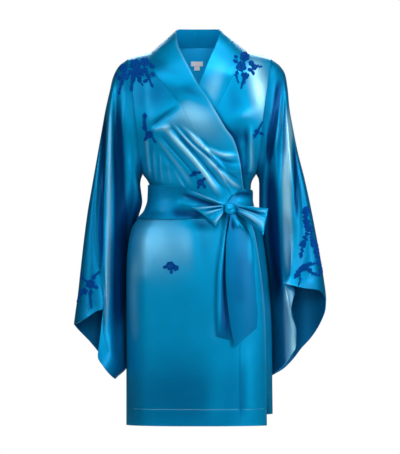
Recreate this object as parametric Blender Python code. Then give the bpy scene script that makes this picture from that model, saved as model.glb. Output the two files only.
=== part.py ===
"""Short kimono robe in silk satin, worn by nobody and filled out.

The robe faces -Y and hangs from its shoulders, which lie at the origin. Sizes are in millimetres here
and become metres when a mesh is made. The wearer's right is at -X.
"""

import math

import bpy
import numpy as np

# Driving sizes, in millimetres
CLOTH = 1.5  # wall of a panel
BAND = 2.0  # wall of the doubled collar band
LACE = 1.2  # wall of a lace motif
SEAM = 0.5  # half of the space between two pieces at a seam
HEM_Z = -876.0
SHOULDER_X = 168.0  # top of the armhole
SHOULDER_Z = -16.5
UNDERARM_X = 133.0
UNDERARM_Z = -287.0
ARMHOLE_FRONT = 66.0  # how far the armhole reaches forwards of the shoulder line
ARMHOLE_BACK = 62.0
ROLL = 75.0  # height over which the shoulder rounds forwards
OVER = 5.0  # how far the over front stands outside the under front
CENTRE_SEAM_X = -6.0  # join of the two collar halves at the back
ROW_FADE = 230.0  # height over which the rows lose the shoulder's slope
CLOSE_Z = -230.0  # below this the sides close from the open armholes to the side seams
FACE_POWER = 2.3  # how flat a face is: 2 would be an ellipse
OVER_EASE = 45.0  # width over which the over front leaves the figure
OVER_BAND_OUT = 0.5  # how far the bands stand outside their fronts
UNDER_BAND_OUT = 0.3
SLOPED = 0.3  # an upward share of a normal, above which an edge is squared to the shoulder seam
SQUARE_BELOW = 15.0  # the side seams' edges are square from this far above the underarm

# Finishes: colour and roughness
SATIN = (0.02, 0.21, 0.45), 0.32
LACE_THREAD = (0.004, 0.08, 0.42), 0.7
LABEL_TAPE = (0.75, 0.77, 0.8), 0.8

# Points across each piece
FRONT_COLUMNS = 18
UNDER_COLUMNS = 13
BACK_COLUMNS = 23
COLLAR_COLUMNS = 4
BELT_COLUMNS = 42
BELT_ROWS = 4

# Solving for a place on a curved row
SOLVE_STEPS = 12
SOLVE_EASE = 0.8

# The figure at each height: half widths to the viewer's left and right, depth to the front and back
FIGURE = {
    "z": (20, -60, -120, -160, -220, -287, -300, -313, -345, -372, -387, -400, -416, -456, -493, -536,
          -595, -658, -760, -876),
    "left": (168, 162, 155, 150, 142, 133, 124, 118, 119, 127, 140, 151, 160, 168, 171, 172, 172, 172,
             172, 172),
    "right": (168, 162, 155, 150, 142, 133, 125, 121, 120, 126, 134, 140, 145, 152, 157, 162, 167, 170,
              171, 172),
    "front": (72, 96, 109, 112, 105, 92, 88, 85, 82, 84, 88, 92, 96, 102, 105, 107, 108, 109, 111, 112),
    "back": (90, 96, 97, 96, 92, 82, 79, 75, 70, 74, 79, 84, 92, 102, 106, 108, 109, 109, 110, 111),
}

# Rise of the shoulder line above SHOULDER_Z, and how far back it lies, at each distance from the middle
SHOULDER = {
    "x": (0, 45, 84, 112, 140, 168),
    "rise": (28.5, 28.5, 25, 17.5, 9, 0),
    "back": (92, 87, 62, 18, 7, 0),
}

# Seam of the collar band on each front, as x at each height
OVER_SEAM = {
    "z": (1, -12, -32, -61, -81, -105, -135, -182, -226, -253, -284, -332, -372, -430, -560, -876),
    "x": (-112, -117, -113, -98, -78, -59, -39, -15, 5, 26, 47, 72, 80, 88, 94, 95),
}
UNDER_SEAM = {
    "z": (1, -12, -40, -72, -101, -137, -182, -226, -284, -332, -372, -430, -876),
    "x": (112, 106, 84, 71, 56, 38, 15, -5, -20, -30, -36, -42, -46),
}

# The collar band from the centre back to the shoulder: seam point, then free edge point
NECK_OVER = (
    # seam x, y, z, free x, y, z
    (-6, 92, 12, -6, 62, 55),
    (-45, 87, 12, -30, 56, 55),
    (-84, 62, 8.5, -48, 36, 55),
    (-112, 18, 1, -55, 6, 51),
)
NECK_UNDER = (
    (-6, 92, 12, -6, 62, 55),
    (45, 87, 12, 30, 56, 55),
    (84, 62, 8.5, 46, 36, 55),
    (112, 18, 1, 49, 6, 50),
)

# The band's free edge from the shoulder down, by the height of its seam. Stand is 1 where it stands
# free of the figure at depth y, and 0 where it lies on the figure.
OVER_FREE = {
    "seam z": (1, -12, -32, -61, -81, -105, -135, -182, -226, -253, -284, -332, -372, -430, -490, -560,
               -660, HEM_Z),
    "x": (-55, -54, -49, -36, -19, -2, 14, 39, 62, 79, 92, 103, 111, 130, 140, 149, 155, 158),
    "z": (51, 36, 12, -16, -49, -81, -103, -144, -182, -206, -246, -318, -372, -430, -490, -560, -660,
          HEM_Z),
    "y": (6, -17, -40, -66, -88, -100, 0, 0, 0, 0, 0, 0, 0, 0, 0, 0, 0, 0),
    "stand": (1, 1, 1, 1, 0.8, 0, 0, 0, 0, 0, 0, 0, 0, 0, 0, 0, 0, 0),
}
UNDER_FREE = {
    "seam z": (1, -12, -28, -40, -72, -101, -137, -182, -226, -284, -332, -372, -430, -660, HEM_Z),
    "x": (49, 45, 37, 27, 13, -2, -17, -40, -58, -66, -70, -76, -90, -104, -106),
    "z": (50, 34, 12, -10, -45, -81, -107, -150, -200, -270, -332, -372, -430, -660, HEM_Z),
    "y": (6, -17, -40, -62, -88, -100, 0, 0, 0, 0, 0, 0, 0, 0, 0),
    "stand": (1, 1, 1, 1, 0.8, 0, 0, 0, 0, 0, 0, 0, 0, 0, 0),
}

# A fold runs past both ends of its line by the first share of its length and fades over the second
FOLD_PAST = 0.15
FOLD_FADE = 0.4

# Soft folds of the fronts: a line from one point to another, its half width and its height outwards
OVER_FOLDS = (
    # from x, from z, to x, to z, half width, height
    (-80, -183, 30, -322, 10, 5.5),
    (-55, -183, 48, -290, 8, 4.5),
    (-100, -200, 0, -318, 11, -2.0),
    (-15, -195, 85, -248, 9, 3.0),
    (43, -271, 100, -312, 6, 4.0),
    (-128, -210, -112, -300, 8, 4.0),
    (-80, -250, -70, -308, 6, 2.5),
    (-104, -262, -98, -308, 5, 2.5),
    (-122, -60, -118, -190, 14, 4.0),
    (96, -740, 100, -860, 14, 2.5),
    (-90, -420, -96, -520, 20, 3.5),
)
UNDER_FOLDS = (
    (118, -180, 122, -290, 7, 4.0),
    (125, -40, 108, -170, 16, 5.0),
)


def section(name, z):
    """A column of the figure at this height, on a smooth curve."""
    return curve(FIGURE["z"], FIGURE[name], z)


def curve(places, values, place):
    """Value at a place on a smooth curve through a table's rows, which may run up or down."""
    xs = np.asarray(places, float)
    ys = np.asarray(values, float)
    if xs[0] > xs[-1]:
        xs, ys = xs[::-1], ys[::-1]
    place = min(max(place, xs[0]), xs[-1])
    i = int(min(max(np.searchsorted(xs, place) - 1, 0), len(xs) - 2))
    slopes = np.diff(ys) / np.diff(xs)

    def tangent(k):
        if k == 0:
            return slopes[0]
        if k == len(xs) - 1:
            return slopes[-1]
        if slopes[k - 1] * slopes[k] <= 0:
            return 0.0
        return 2 * slopes[k - 1] * slopes[k] / (slopes[k - 1] + slopes[k])

    step = xs[i + 1] - xs[i]
    t = (place - xs[i]) / step
    return float(
        (1 + 2 * t) * (1 - t) ** 2 * ys[i]
        + t * (1 - t) ** 2 * step * tangent(i)
        + t * t * (3 - 2 * t) * ys[i + 1]
        + t * t * (t - 1) * step * tangent(i + 1)
    )


def smooth(value):
    """0 to 1 with no corner."""
    value = min(max(value, 0.0), 1.0)
    return value * value * (3 - 2 * value)


def armhole_height(z):
    """-1 at the underarm, 1 at the shoulder."""
    middle = (SHOULDER_Z + UNDERARM_Z) / 2
    half = (SHOULDER_Z - UNDERARM_Z) / 2
    return min(max((z - middle) / half, -1.0), 1.0)


def edge_x(side, z):
    """Half width to the side seam or, above the underarm, to the armhole."""
    if z > UNDERARM_Z:
        t = (armhole_height(z) + 1) / 2
        return UNDERARM_X + (SHOULDER_X - UNDERARM_X) * t
    return section("left" if side < 0 else "right", z)


def edge_depth(face, z):
    """How far the armhole's edge lies before or behind the shoulder line at this height."""
    reach = ARMHOLE_FRONT if face == "front" else ARMHOLE_BACK
    return reach * math.sqrt(max(0.0, 1 - armhole_height(z) ** 2))


def shoulder(name, x):
    """The shoulder line's rise or setback at a distance from the middle."""
    return curve(SHOULDER["x"], SHOULDER[name], abs(x))


def row_height(x, level):
    """Height of a point in the row that meets the armhole or side seam at this level."""
    fade = 1 - smooth((SHOULDER_Z - level) / ROW_FADE)
    return level + shoulder("rise", x) * fade


def depth(face, x, z, level, out=0.0):
    """Distance of the figure's face from the middle, with out standing outside it."""
    side = -1 if x < 0 else 1
    wide = edge_x(side, level) + out
    q = min(abs(x) / wide, 1.0)
    below = smooth((CLOSE_Z - level) / (CLOSE_Z - UNDERARM_Z))
    power = 1 - 0.5 * below
    shape = max(0.0, 1 - q**FACE_POWER) ** power
    down = max(0.0, shoulder("rise", x) + SHOULDER_Z - z)
    roll = math.sqrt(max(0.0, 1 - (1 - min(down / ROLL, 1.0)) ** 2))
    top = shoulder("back", x)
    start = -top if face == "front" else top
    full = section(face, z) + out
    edge = edge_depth(face, level)
    return start * (1 - roll) + edge + (full * roll - edge) * shape


def front_fold(folds, x, z):
    """Height of a front's folds at a point."""
    total = 0.0
    for x0, z0, x1, z1, half, height in folds:
        dx, dz = x1 - x0, z1 - z0
        long = math.hypot(dx, dz)
        along = ((x - x0) * dx + (z - z0) * dz) / long**2
        across = ((x - x0) * dz - (z - z0) * dx) / long
        ends = smooth((along + FOLD_PAST) / FOLD_FADE) * smooth((1 + FOLD_PAST - along) / FOLD_FADE)
        total += height * ends * math.exp(-((across / half) ** 2))
    return total


def over_out(x, level):
    """The over front's distance outside the figure, none at its side seam and armhole."""
    return OVER * smooth((x + edge_x(-1, level)) / OVER_EASE)


def level_of(x, z):
    """The level of the row that passes through a point."""
    level = z
    for _ in range(SOLVE_STEPS):
        level += SOLVE_EASE * (z - row_height(x, level))
    return level


def front_depth(folds, x, z, out):
    """Where a front's point lies at x and z, out mm outside the figure."""
    return -depth("front", x, z, level_of(x, z), out) - front_fold(folds, x, z)


def seam_x(table, level):
    """Where a row meets a collar seam."""
    x = curve(table["z"], table["x"], level)
    for _ in range(SOLVE_STEPS):
        x = curve(table["z"], table["x"], row_height(x, level))
    return x


# Row levels of the fronts and the back, closest where the shoulder rounds and at the waist
LEVELS = (-16.5, -22, -32, -46, -64, -88, -116, -148, -182, -216, -250, -280, -300, -318, -345, -372,
          -393, -414, -448, -500, -580, -680, -780, HEM_Z)


def front_grid(table, folds, side, columns, out):
    """Rows of a front from its armhole or side seam to its collar seam, left to right."""
    grid = []
    for number, level in enumerate(LEVELS):
        inner = seam_x(table, level) + side * SEAM
        inner_side = -1 if inner < 0 else 1
        end = math.asin(max(-1.0, min(1.0, inner / edge_x(inner_side, level))))
        row = []
        for c, angle in enumerate(np.linspace(side * math.pi / 2, end, columns)):
            share = math.sin(angle)
            x = share * edge_x(-1 if share < 0 else 1, level)
            z = row_height(x, level)
            stand = out(x, level) if out else 0.0
            y = -depth("front", x, z, level, stand) - front_fold(folds, x, z) * smooth(c / 2)
            if number == 0:
                y -= SEAM
            if c == 0:
                y = min(y, -SEAM)
            row.append((x, y, z))
        grid.append(row[::-1] if side > 0 else row)
    return np.array(grid, float)


def back_grid(columns):
    """Rows of the back, left to right as seen from behind."""
    grid = []
    for number, level in enumerate(LEVELS):
        row = []
        for c in range(columns):
            share = math.cos(math.pi * c / (columns - 1))
            x = share * edge_x(-1 if share < 0 else 1, level)
            z = row_height(x, level)
            edge = smooth(min(c, columns - 1 - c) / 3)
            y = depth("back", x, z, level) + back_fold(x, z) * edge
            if number == 0:
                y += SEAM
            row.append((x, max(y, SEAM), z))
        grid.append(row)
    return np.array(grid, float)


# Waves across the back: height, width of a wave over 2 pi, phase, the height they centre on and their
# spread, gathered above and below the belt
BACK_GATHERS = (
    # height, wave, phase, z, spread
    (2.2, 11.5, 0, -285, 26),
    (2.0, 13.0, 1.1, -430, 26),
)
FLUTE_HEIGHT, FLUTE_WAVE, FLUTE_PHASE = 3.0, 31.0, 0.6  # flutes of the skirt's back
FLUTE_TOP, FLUTE_FADE = -470.0, 250.0
DRAPE_HEIGHT, DRAPE_X, DRAPE_HALF = 4.0, 118.0, 15.0  # the fall of cloth beside each armhole
DRAPE_TOP, DRAPE_TOP_FADE = -30.0, 60.0
DRAPE_LOW, DRAPE_LOW_FADE = -260.0, 80.0


def back_fold(x, z):
    """Soft folds of the back: gathers above and below the belt, flutes in the skirt, side drape."""
    total = 0.0
    for height, wave, phase, middle, spread in BACK_GATHERS:
        total += height * math.sin(x / wave + phase) * math.exp(-(((z - middle) / spread) ** 2))
    total += FLUTE_HEIGHT * math.sin(x / FLUTE_WAVE + FLUTE_PHASE) * smooth((FLUTE_TOP - z) / FLUTE_FADE)
    drape = DRAPE_HEIGHT * math.exp(-(((abs(x) - DRAPE_X) / DRAPE_HALF) ** 2))
    return total + drape * smooth((DRAPE_TOP - z) / DRAPE_TOP_FADE) * smooth((z - DRAPE_LOW) / DRAPE_LOW_FADE)


def collar_grid(neck, seam, free, folds, out, columns=COLLAR_COLUMNS):
    """Rows of a collar half from the centre back down, left to right as seen from outside."""
    side = -1 if neck[-1][0] < 0 else 1
    grid = []
    for seam_at_x, seam_y, seam_z, free_x, free_y, free_z in neck:
        start = np.array((seam_at_x - side * SEAM, seam_y, seam_z + 2 * SEAM))
        end = np.array((free_x, free_y, free_z))
        grid.append([start + (end - start) * c / (columns - 1) for c in range(columns)])
    for level in LEVELS[1:]:
        x0 = seam_x(seam, level) - side * SEAM
        z0 = row_height(x0, level)
        x1, y1, z1, stand = (curve(free["seam z"], free[key], z0) for key in ("x", "y", "z", "stand"))
        y0 = front_depth(folds, x0, z0, out(x0, level))
        row = []
        for t in np.linspace(0, 1, columns):
            x, z = x0 + (x1 - x0) * t, z0 + (z1 - z0) * t
            flat = y0 + (y1 - y0) * t
            lies = front_depth(folds, x, z, out(x, z)) if stand < 1 else flat
            row.append((x, flat * stand + lies * (1 - stand), z))
        grid.append(row)
    if side > 0:
        grid = [row[::-1] for row in grid]
    return np.array(grid, float)


# Sleeves: a row for each ring from the armhole to the cuff. Outer and inner edge as distance from the
# middle and height, depth to the front and back, how far back the inner edge lies, and the share of
# the cuff's own shape.
RIGHT_RINGS = (
    # outer x, outer z, inner x, inner z, front, back, inner y, cuff share
    (168, -16.5, 133, -287, 66, 62, 0, 0),
    (189, -33, 135, -292, 64, 61, 0, 0),
    (203, -59, 137.5, -299, 60, 58, 0, 0),
    (211.5, -94, 139, -311, 56, 55, 0, 0),
    (221, -136, 137, -328, 52, 52, 0, 0),
    (231.5, -195, 134.5, -352, 48, 50, 8, 0),
    (242, -254, 147, -388, 46, 48, 28, 0),
    (252.6, -315, 160, -424, 44, 46, 40, 0),
    (263, -376, 166, -474, 42, 46, 48, 0.05),
    (272.6, -449, 169, -540, 42, 46, 50, 0.18),
    (279.7, -512, 169.5, -610, 42, 46, 50, 0.38),
    (286.7, -576, 169.5, -680, 42, 46, 50, 0.62),
    (291.8, -612, 169.5, -737, 42, 46, 50, 0.84),
    (295.4, -640, 195, -767, 42, 46, 30, 1),
)
LEFT_RINGS = (
    (168, -16.5, 133, -287, 66, 62, 0, 0),
    (187, -31, 135, -291, 64, 61, 0, 0),
    (201, -52, 138.5, -298, 60, 58, 0, 0),
    (207, -85, 140, -311, 56, 55, 0, 0),
    (211.5, -132, 140, -329, 52, 52, 0, 0),
    (219.7, -179, 140, -353, 50, 50, 8, 0),
    (231.5, -237, 141, -386, 48, 48, 24, 0),
    (247, -298, 148, -424, 46, 46, 38, 0),
    (260, -357, 156, -474, 44, 46, 42, 0.05),
    (272.6, -421, 164, -540, 44, 48, 42, 0.18),
    (284.3, -484, 167, -608, 44, 48, 42, 0.38),
    (292.6, -536, 169, -680, 44, 50, 44, 0.62),
    (296, -560, 169, -735, 44, 52, 46, 0.84),
    (298, -580, 168, -766, 44, 54, 48, 1),
)

# The edge of each cuff: a row for each place round it, 0 at the outer edge, 1 at the inner edge and on
# to 2 round the back
RIGHT_CUFF = {
    "place": (0, 0.12, 0.25, 0.36, 0.44, 0.50, 0.55, 0.62, 0.72, 0.82, 0.90, 1.0, 1.15, 1.35, 1.6, 1.85, 2),
    "x": (295.4, 285, 262, 240, 226, 231, 238, 226, 208, 200, 198, 195, 206, 228, 257, 287, 295.4),
    "y": (0, -22, -40, -44, -36, -46, -60, -64, -52, -34, -14, 16, 42, 54, 46, 20, 0),
    "z": (-640, -636, -622, -608, -604, -655, -712, -735, -758, -766, -768, -765, -750, -720, -683, -651,
          -640),
}
LEFT_CUFF = {
    "place": (0, 0.10, 0.20, 0.32, 0.40, 0.45, 0.51, 0.57, 0.64, 0.71, 0.78, 0.85, 0.92, 1.0, 1.2, 1.35,
              1.5, 1.65, 1.8, 1.92, 2),
    "x": (298, 290, 275, 245, 215, 196, 208, 222, 213, 226, 226, 214, 196, 168, 196, 222, 240, 264, 285,
          297, 298),
    "y": (0, -18, -34, -50, -58, -60, -44, -38, -36, -38, -34, -26, -6, 34, 64, 66, 62, 50, 30, 12, 0),
    "z": (-580, -566, -558, -554, -547, -543, -556, -566, -610, -655, -690, -712, -738, -762, -747, -722,
          -698, -671, -637, -602, -580),
}

# Long folds of each sleeve: place round it at ring 4 and at ring 12, half width in places, height
# outwards, and the rings where it starts and is full
RIGHT_SLEEVE_FOLDS = (
    (0.07, 0.47, 0.05, -8.4, 3, 6),
    (0.21, 0.57, 0.07, 12.6, 1, 4),
    (0.35, 0.72, 0.07, -14.0, 1, 4),
    (0.50, 0.85, 0.07, 8.4, 0, 4),
    (0.68, 0.92, 0.06, -8.4, 0, 3),
    (1.35, 1.30, 0.10, 8.4, 0, 4),
    (1.60, 1.58, 0.09, -9.8, 2, 6),
    (1.80, 1.80, 0.08, 7.0, 2, 6),
)
LEFT_SLEEVE_FOLDS = (
    (0.10, 0.40, 0.05, -7.0, 4, 7),
    (0.20, 0.52, 0.07, 12.6, 1, 4),
    (0.33, 0.70, 0.07, -12.6, 1, 4),
    (0.47, 0.82, 0.07, 9.8, 0, 4),
    (0.64, 0.91, 0.06, -9.8, 0, 3),
    (1.30, 1.32, 0.10, 8.4, 0, 4),
    (1.55, 1.55, 0.09, -9.8, 2, 6),
    (1.78, 1.78, 0.08, 7.0, 2, 6),
)
FOLD_FIRST, FOLD_LAST = 4, 12  # the rings at which the table gives a fold's place
FOLD_AT_CUFF = 0.25  # share of a fold's height that is left at the cuff
RING_ROUND = 0.85  # roundness of a ring, where 1 is an ellipse
INNER_EASE = 1.5  # how late along a ring the inner edge's own depth takes hold
AROUND = (0, 0.06, 0.12, 0.19, 0.26, 0.33, 0.39, 0.44, 0.48, 0.52, 0.56, 0.60, 0.65, 0.71, 0.78, 0.85,
          0.93, 1.0, 1.07, 1.15, 1.25, 1.35, 1.46, 1.57, 1.68, 1.78, 1.87, 1.94)


def sleeve_point(rings, cuff, folds, ring, place):
    """A point of a sleeve, as distance from the middle, depth and height."""
    names = list(zip(*rings))
    at = [curve(range(len(rings)), column, ring) for column in names]
    outer_x, outer_z, inner_x, inner_z, front, back, inner_y, cuff_share = at
    share = (1 - math.cos(math.pi * place)) / 2
    round_up = abs(math.sin(math.pi * place)) ** (1 - (1 - RING_ROUND) * smooth(ring / 3))
    x = outer_x + (inner_x - outer_x) * share
    z = outer_z + (inner_z - outer_z) * share
    forwards = place <= 1
    y = inner_y * share**INNER_EASE + (-front if forwards else back) * round_up
    if cuff_share > 0:
        x, y, z = (
            value + cuff_share * (curve(cuff["place"], cuff[key], place) - plain)
            for value, key, plain in zip((x, y, z), "xyz", cuff_base(rings, place))
        )
    for first, last, half, height, begin, full in folds:
        middle = first + (last - first) * (ring - FOLD_FIRST) / (FOLD_LAST - FOLD_FIRST)
        rise = height * math.exp(-(((place - middle) / half) ** 2)) * smooth((ring - begin) / (full - begin))
        rise *= 1 - (1 - FOLD_AT_CUFF) * cuff_share
        y += -rise if forwards else rise
    return x, y, z


def cuff_base(rings, place):
    """The plain last ring, which a cuff's own shape replaces."""
    outer_x, outer_z, inner_x, inner_z, front, back, inner_y, _ = rings[-1]
    share = (1 - math.cos(math.pi * place)) / 2
    round_up = abs(math.sin(math.pi * place)) ** RING_ROUND
    y = inner_y * share**INNER_EASE + (-front if place <= 1 else back) * round_up
    return outer_x + (inner_x - outer_x) * share, y, outer_z + (inner_z - outer_z) * share


def sleeve_grid(rings, cuff, folds, side):
    """Rings of a sleeve, each left to right on its front as seen from outside."""
    grid = []
    for ring in range(len(rings)):
        row = []
        for place in AROUND:
            x, y, z = sleeve_point(rings, cuff, folds, ring, place)
            row.append((side * (x + (2 * SEAM if ring == 0 else 0)), y, z))
        grid.append(row if side < 0 else row[::-1])
    return np.array(grid, float)


def normals(grid, closed):
    """Unit normals of a grid whose rows run down and whose columns run right, seen from outside."""
    if closed:
        across = np.roll(grid, -1, 1) - np.roll(grid, 1, 1)
    else:
        across = np.gradient(grid, axis=1)
    down = np.gradient(grid, axis=0)
    out = np.cross(down, across)
    return out / np.maximum(np.linalg.norm(out, axis=2, keepdims=True), 1e-9)


def grid_faces(rows, columns, closed):
    """Triangles of a grid, facing outwards."""
    faces = []
    for r in range(rows - 1):
        for c in range(columns if closed else columns - 1):
            a, b = r * columns + c, r * columns + (c + 1) % columns
            d, e = a + columns, b + columns
            faces += [(a, d, e), (a, e, b)]
    return faces


def link(name, points, faces, material):
    """Adds a piece, from points in millimetres."""
    mesh = bpy.data.meshes.new(name)
    mesh.from_pydata([tuple(p) for p in points / 1000], [], faces)
    mesh.update()
    mesh.shade_smooth()
    mesh.materials.append(material)
    piece = bpy.data.objects.new(name, mesh)
    bpy.context.scene.collection.objects.link(piece)


def thicken(name, points, faces, out, thick, material):
    """A closed wall: the outer face given, an inner face thick mm inside, and rims between them."""
    half = len(points)
    inner = points - out * thick
    once = {}
    for face in faces:
        for k in range(3):
            once[face[k], face[(k + 1) % 3]] = True
    solid = list(faces) + [tuple(i + half for i in reversed(face)) for face in faces]
    for a, b in once:
        if (b, a) not in once:
            solid += [(b, a, a + half), (b, a + half, b + half)]
    link(name, np.concatenate([points, inner]), solid, material)


def wall(name, grid, thick, material, closed=False, adjust=None):
    """A wall whose outer face is a grid."""
    rows, columns = grid.shape[:2]
    out = normals(grid, closed)
    if adjust:
        for r in range(rows):
            for c in range(columns):
                turned = np.array(adjust(r, c, out[r, c]))
                out[r, c] = turned / max(np.linalg.norm(turned), 1e-9)
    faces = grid_faces(rows, columns, closed)
    thicken(name, grid.reshape(-1, 3), faces, out.reshape(-1, 3), thick, material)


def cloth(name, colour, roughness):
    """A plain finish."""
    material = bpy.data.materials.new(name)
    material.use_nodes = True
    shader = material.node_tree.nodes["Principled BSDF"]
    shader.inputs["Base Color"].default_value = (*colour, 1)
    shader.inputs["Roughness"].default_value = roughness
    shader.inputs["Metallic"].default_value = 0.0
    return material


def keep_in_plane(axis):
    """An adjust for wall that keeps an edge's thickness square to its seam."""

    def flat(normal):
        turned = np.array(normal)
        turned[axis] = 0.0
        return turned

    return flat


ALONG_X = keep_in_plane(0)
ALONG_Y = keep_in_plane(1)
ALONG_Z = keep_in_plane(2)


def square_front(side, columns):
    """Squares a front's edges to the armhole, the side seam and the shoulder seam."""
    outer = 0 if side < 0 else columns - 1

    def adjust(r, c, normal):
        if r == 0:
            normal = ALONG_Y(normal)
        if c == outer:
            normal = ALONG_X(normal) if LEVELS[r] > UNDERARM_Z + SQUARE_BELOW else (side, 0, 0)
        return normal

    return adjust


def square_back(columns):
    """Squares the back's edges to the shoulder seams, the armholes and the side seams."""

    def adjust(r, c, normal):
        if r == 0 and abs(normal[2]) > SLOPED:
            normal = ALONG_Y(normal)
        if c in (0, columns - 1):
            below = (1 if c == 0 else -1, 0, 0)
            normal = ALONG_X(normal) if LEVELS[r] > UNDERARM_Z + SQUARE_BELOW else below
        return normal

    return adjust


def square_sleeve(r, _c, normal):
    """Squares a sleeve's top edge to the armhole."""
    return ALONG_X(normal) if r == 0 else normal


def square_collar(side, columns):
    """Squares a collar half to the neck seam and to the centre-back seam."""
    seam = 0 if side < 0 else columns - 1

    def adjust(r, c, normal):
        if r == 0:
            normal = ALONG_X(normal)
        if c == seam and r < len(NECK_OVER):
            normal = ALONG_Z(normal)
        return normal

    return adjust


def build_panels(satin):
    """The two fronts and the back."""
    over = front_grid(OVER_SEAM, OVER_FOLDS, -1, FRONT_COLUMNS, over_out)
    under = front_grid(UNDER_SEAM, UNDER_FOLDS, 1, UNDER_COLUMNS, None)
    back = back_grid(BACK_COLUMNS)
    wall("front_over", over, CLOTH, satin, adjust=square_front(-1, FRONT_COLUMNS))
    wall("front_under", under, CLOTH, satin, adjust=square_front(1, UNDER_COLUMNS))
    wall("back", back, CLOTH, satin, adjust=square_back(BACK_COLUMNS))
    return over, under


def over_band_out(x, level):
    """How far the over band stands outside the figure."""
    return over_out(x, level) + OVER_BAND_OUT


def under_band_out(_x, _level):
    """How far the under band stands outside the figure."""
    return UNDER_BAND_OUT


def build_collar(satin):
    """The two halves of the collar band, which run on down the front edges."""
    over = collar_grid(NECK_OVER, OVER_SEAM, OVER_FREE, OVER_FOLDS, over_band_out)
    under = collar_grid(NECK_UNDER, UNDER_SEAM, UNDER_FREE, UNDER_FOLDS, under_band_out)
    over[0, :, 0] = CENTRE_SEAM_X - SEAM
    under[0, :, 0] = CENTRE_SEAM_X + SEAM
    wall("collar_over", over, BAND, satin, adjust=square_collar(-1, COLLAR_COLUMNS))
    wall("collar_under", under, BAND, satin, adjust=square_collar(1, COLLAR_COLUMNS))


def build_sleeves(satin):
    """The two sleeves, open tubes."""
    right = sleeve_grid(RIGHT_RINGS, RIGHT_CUFF, RIGHT_SLEEVE_FOLDS, -1)
    left = sleeve_grid(LEFT_RINGS, LEFT_CUFF, LEFT_SLEEVE_FOLDS, 1)
    wall("sleeve_right", right, CLOTH, satin, closed=True, adjust=square_sleeve)
    wall("sleeve_left", left, CLOTH, satin, closed=True, adjust=square_sleeve)
    return right, left


# The sash: height of its upper and lower edge across the front
BELT_TOP = {
    "x": (-130, -90, -46, -16, 19, 52, 66, 78, 109, 130),
    "z": (-312, -315, -317, -328, -341, -353, -352, -338, -323, -330),
}
BELT_BOTTOM = {
    "x": (-135, -69, -16, 30, 63, 78, 95, 130),
    "z": (-388, -393, -391, -388, -384, -384, -391, -396),
}
BELT_OUT_FRONT = 9.5  # how far the belt stands off the figure
BELT_OUT_BACK = 3.6
BELT_MIDDLE_Z = -350.0
BELT_BACK_TOP = (-314.0, -324.0)  # at the left and right as seen from the front
BELT_BACK_LOW = -392.0
BELT_TURN_LEFT, BELT_TURN_RIGHT, BELT_TURN = -0.05, 0.35, 0.45  # where it comes off the sides forwards
REST = 0.7  # space between the belt and what lies on it
BELT_WALL = 1.8
KNOT_X, KNOT_Z = 71.7, -368.0
KNOT_HALF_X, KNOT_HALF_Z, KNOT_HALF_DEEP = 14.5, 13.0, 11.5
KNOT_OUT = BELT_OUT_FRONT + REST + KNOT_HALF_DEEP  # the knot's middle
KNOT_BLUNT = 0.8  # 1 would be an ellipsoid
KNOT_AROUND, KNOT_RINGS = 16, 9
LOOP_GAP = 0.6  # space between the knot and each loop
LOOP_AROUND, LOOP_ROWS = 20, 6
LOOP_HALF_DEEP = 10.0
LOOP_FLAT = 0.7  # depth of a loop at its edges, as a share of its middle
# The far fold of each loop, upper and lower corner. The right one lies on the figure.
RIGHT_LOOP_FAR = ((-18.6, -366, 23), (38.8, -411, 23))  # x, z, out
LEFT_LOOP_FAR = ((161, -86, -368), (149, -108, -431))  # x, y, z
RIGHT_LOOP_NEAR = (-360, -377)  # heights at the knot
LEFT_LOOP_NEAR = (-359, -377)
TAIL_RIDGE, TAIL_RIDGE_HALF = 2.5, 0.16  # a long crease's height, and half width as a share of the tail
TAIL_RIDGE_TOP, TAIL_RIDGE_FADE = -390.0, 40.0
# Each tail: heights and x of its left and right edges, and its distance outside the figure
LEFT_TAIL = (
    # left z, right z, left x, right x, out
    (-381.5, -381.5, 61.5, 71, 20),
    (-400, -400, 60, 75, 13),
    (-438, -438, 52, 78, 9),
    (-500, -500, 41, 84, 8.5),
    (-560, -560, 37, 86, 8.5),
    (-625, -630, 37.5, 80, 8.5),
    (-664, -675, 39.5, 74, 8.5),
)
RIGHT_TAIL = (
    (-381.5, -381.5, 72.6, 83, 21),
    (-400, -398, 70, 95, 18),
    (-425, -420, 65, 115, 14),
    (-455, -446, 62, 125, 13),
    (-517, -506, 61, 128.5, 12.5),
    (-576, -569, 64.5, 132, 12.5),
    (-640, -615, 72, 136, 12.5),
    (-693, -647, 82.5, 134, 12.5),
)


def lie(x, z, out):
    """A point in front of the figure."""
    return np.array((x, -depth("front", x, z, level_of(x, z), out), z))


def build_belt(satin):
    """The belt, a band right round the waist."""
    grid = []
    for r in range(BELT_ROWS):
        row = []
        for c in range(BELT_COLUMNS):
            angle = -math.pi + 2 * math.pi * c / BELT_COLUMNS
            share, front = math.sin(angle), math.cos(angle) > 0
            side = -1 if share < 0 else 1
            turn = BELT_TURN_RIGHT if side > 0 else BELT_TURN_LEFT
            forwards = smooth((math.cos(angle) + turn) / BELT_TURN)
            out = BELT_OUT_BACK + (BELT_OUT_FRONT - BELT_OUT_BACK) * forwards
            x = share * (edge_x(side, BELT_MIDDLE_Z) + out)
            top = curve(BELT_TOP["x"], BELT_TOP["z"], x) if front else curve((-1, 1), BELT_BACK_TOP, share)
            low = curve(BELT_BOTTOM["x"], BELT_BOTTOM["z"], x) if front else BELT_BACK_LOW
            z = top + (low - top) * r / (BELT_ROWS - 1)
            x = share * (edge_x(side, z) + out)
            y = depth("front" if front else "back", x, z, z, out)
            row.append((x, -y if front else y, z))
        grid.append(row)
    wall("belt", np.array(grid, float), BELT_WALL, satin, closed=True)


def blunt(value):
    """A sine or cosine, squared off."""
    return math.copysign(abs(value) ** KNOT_BLUNT, value)


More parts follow.
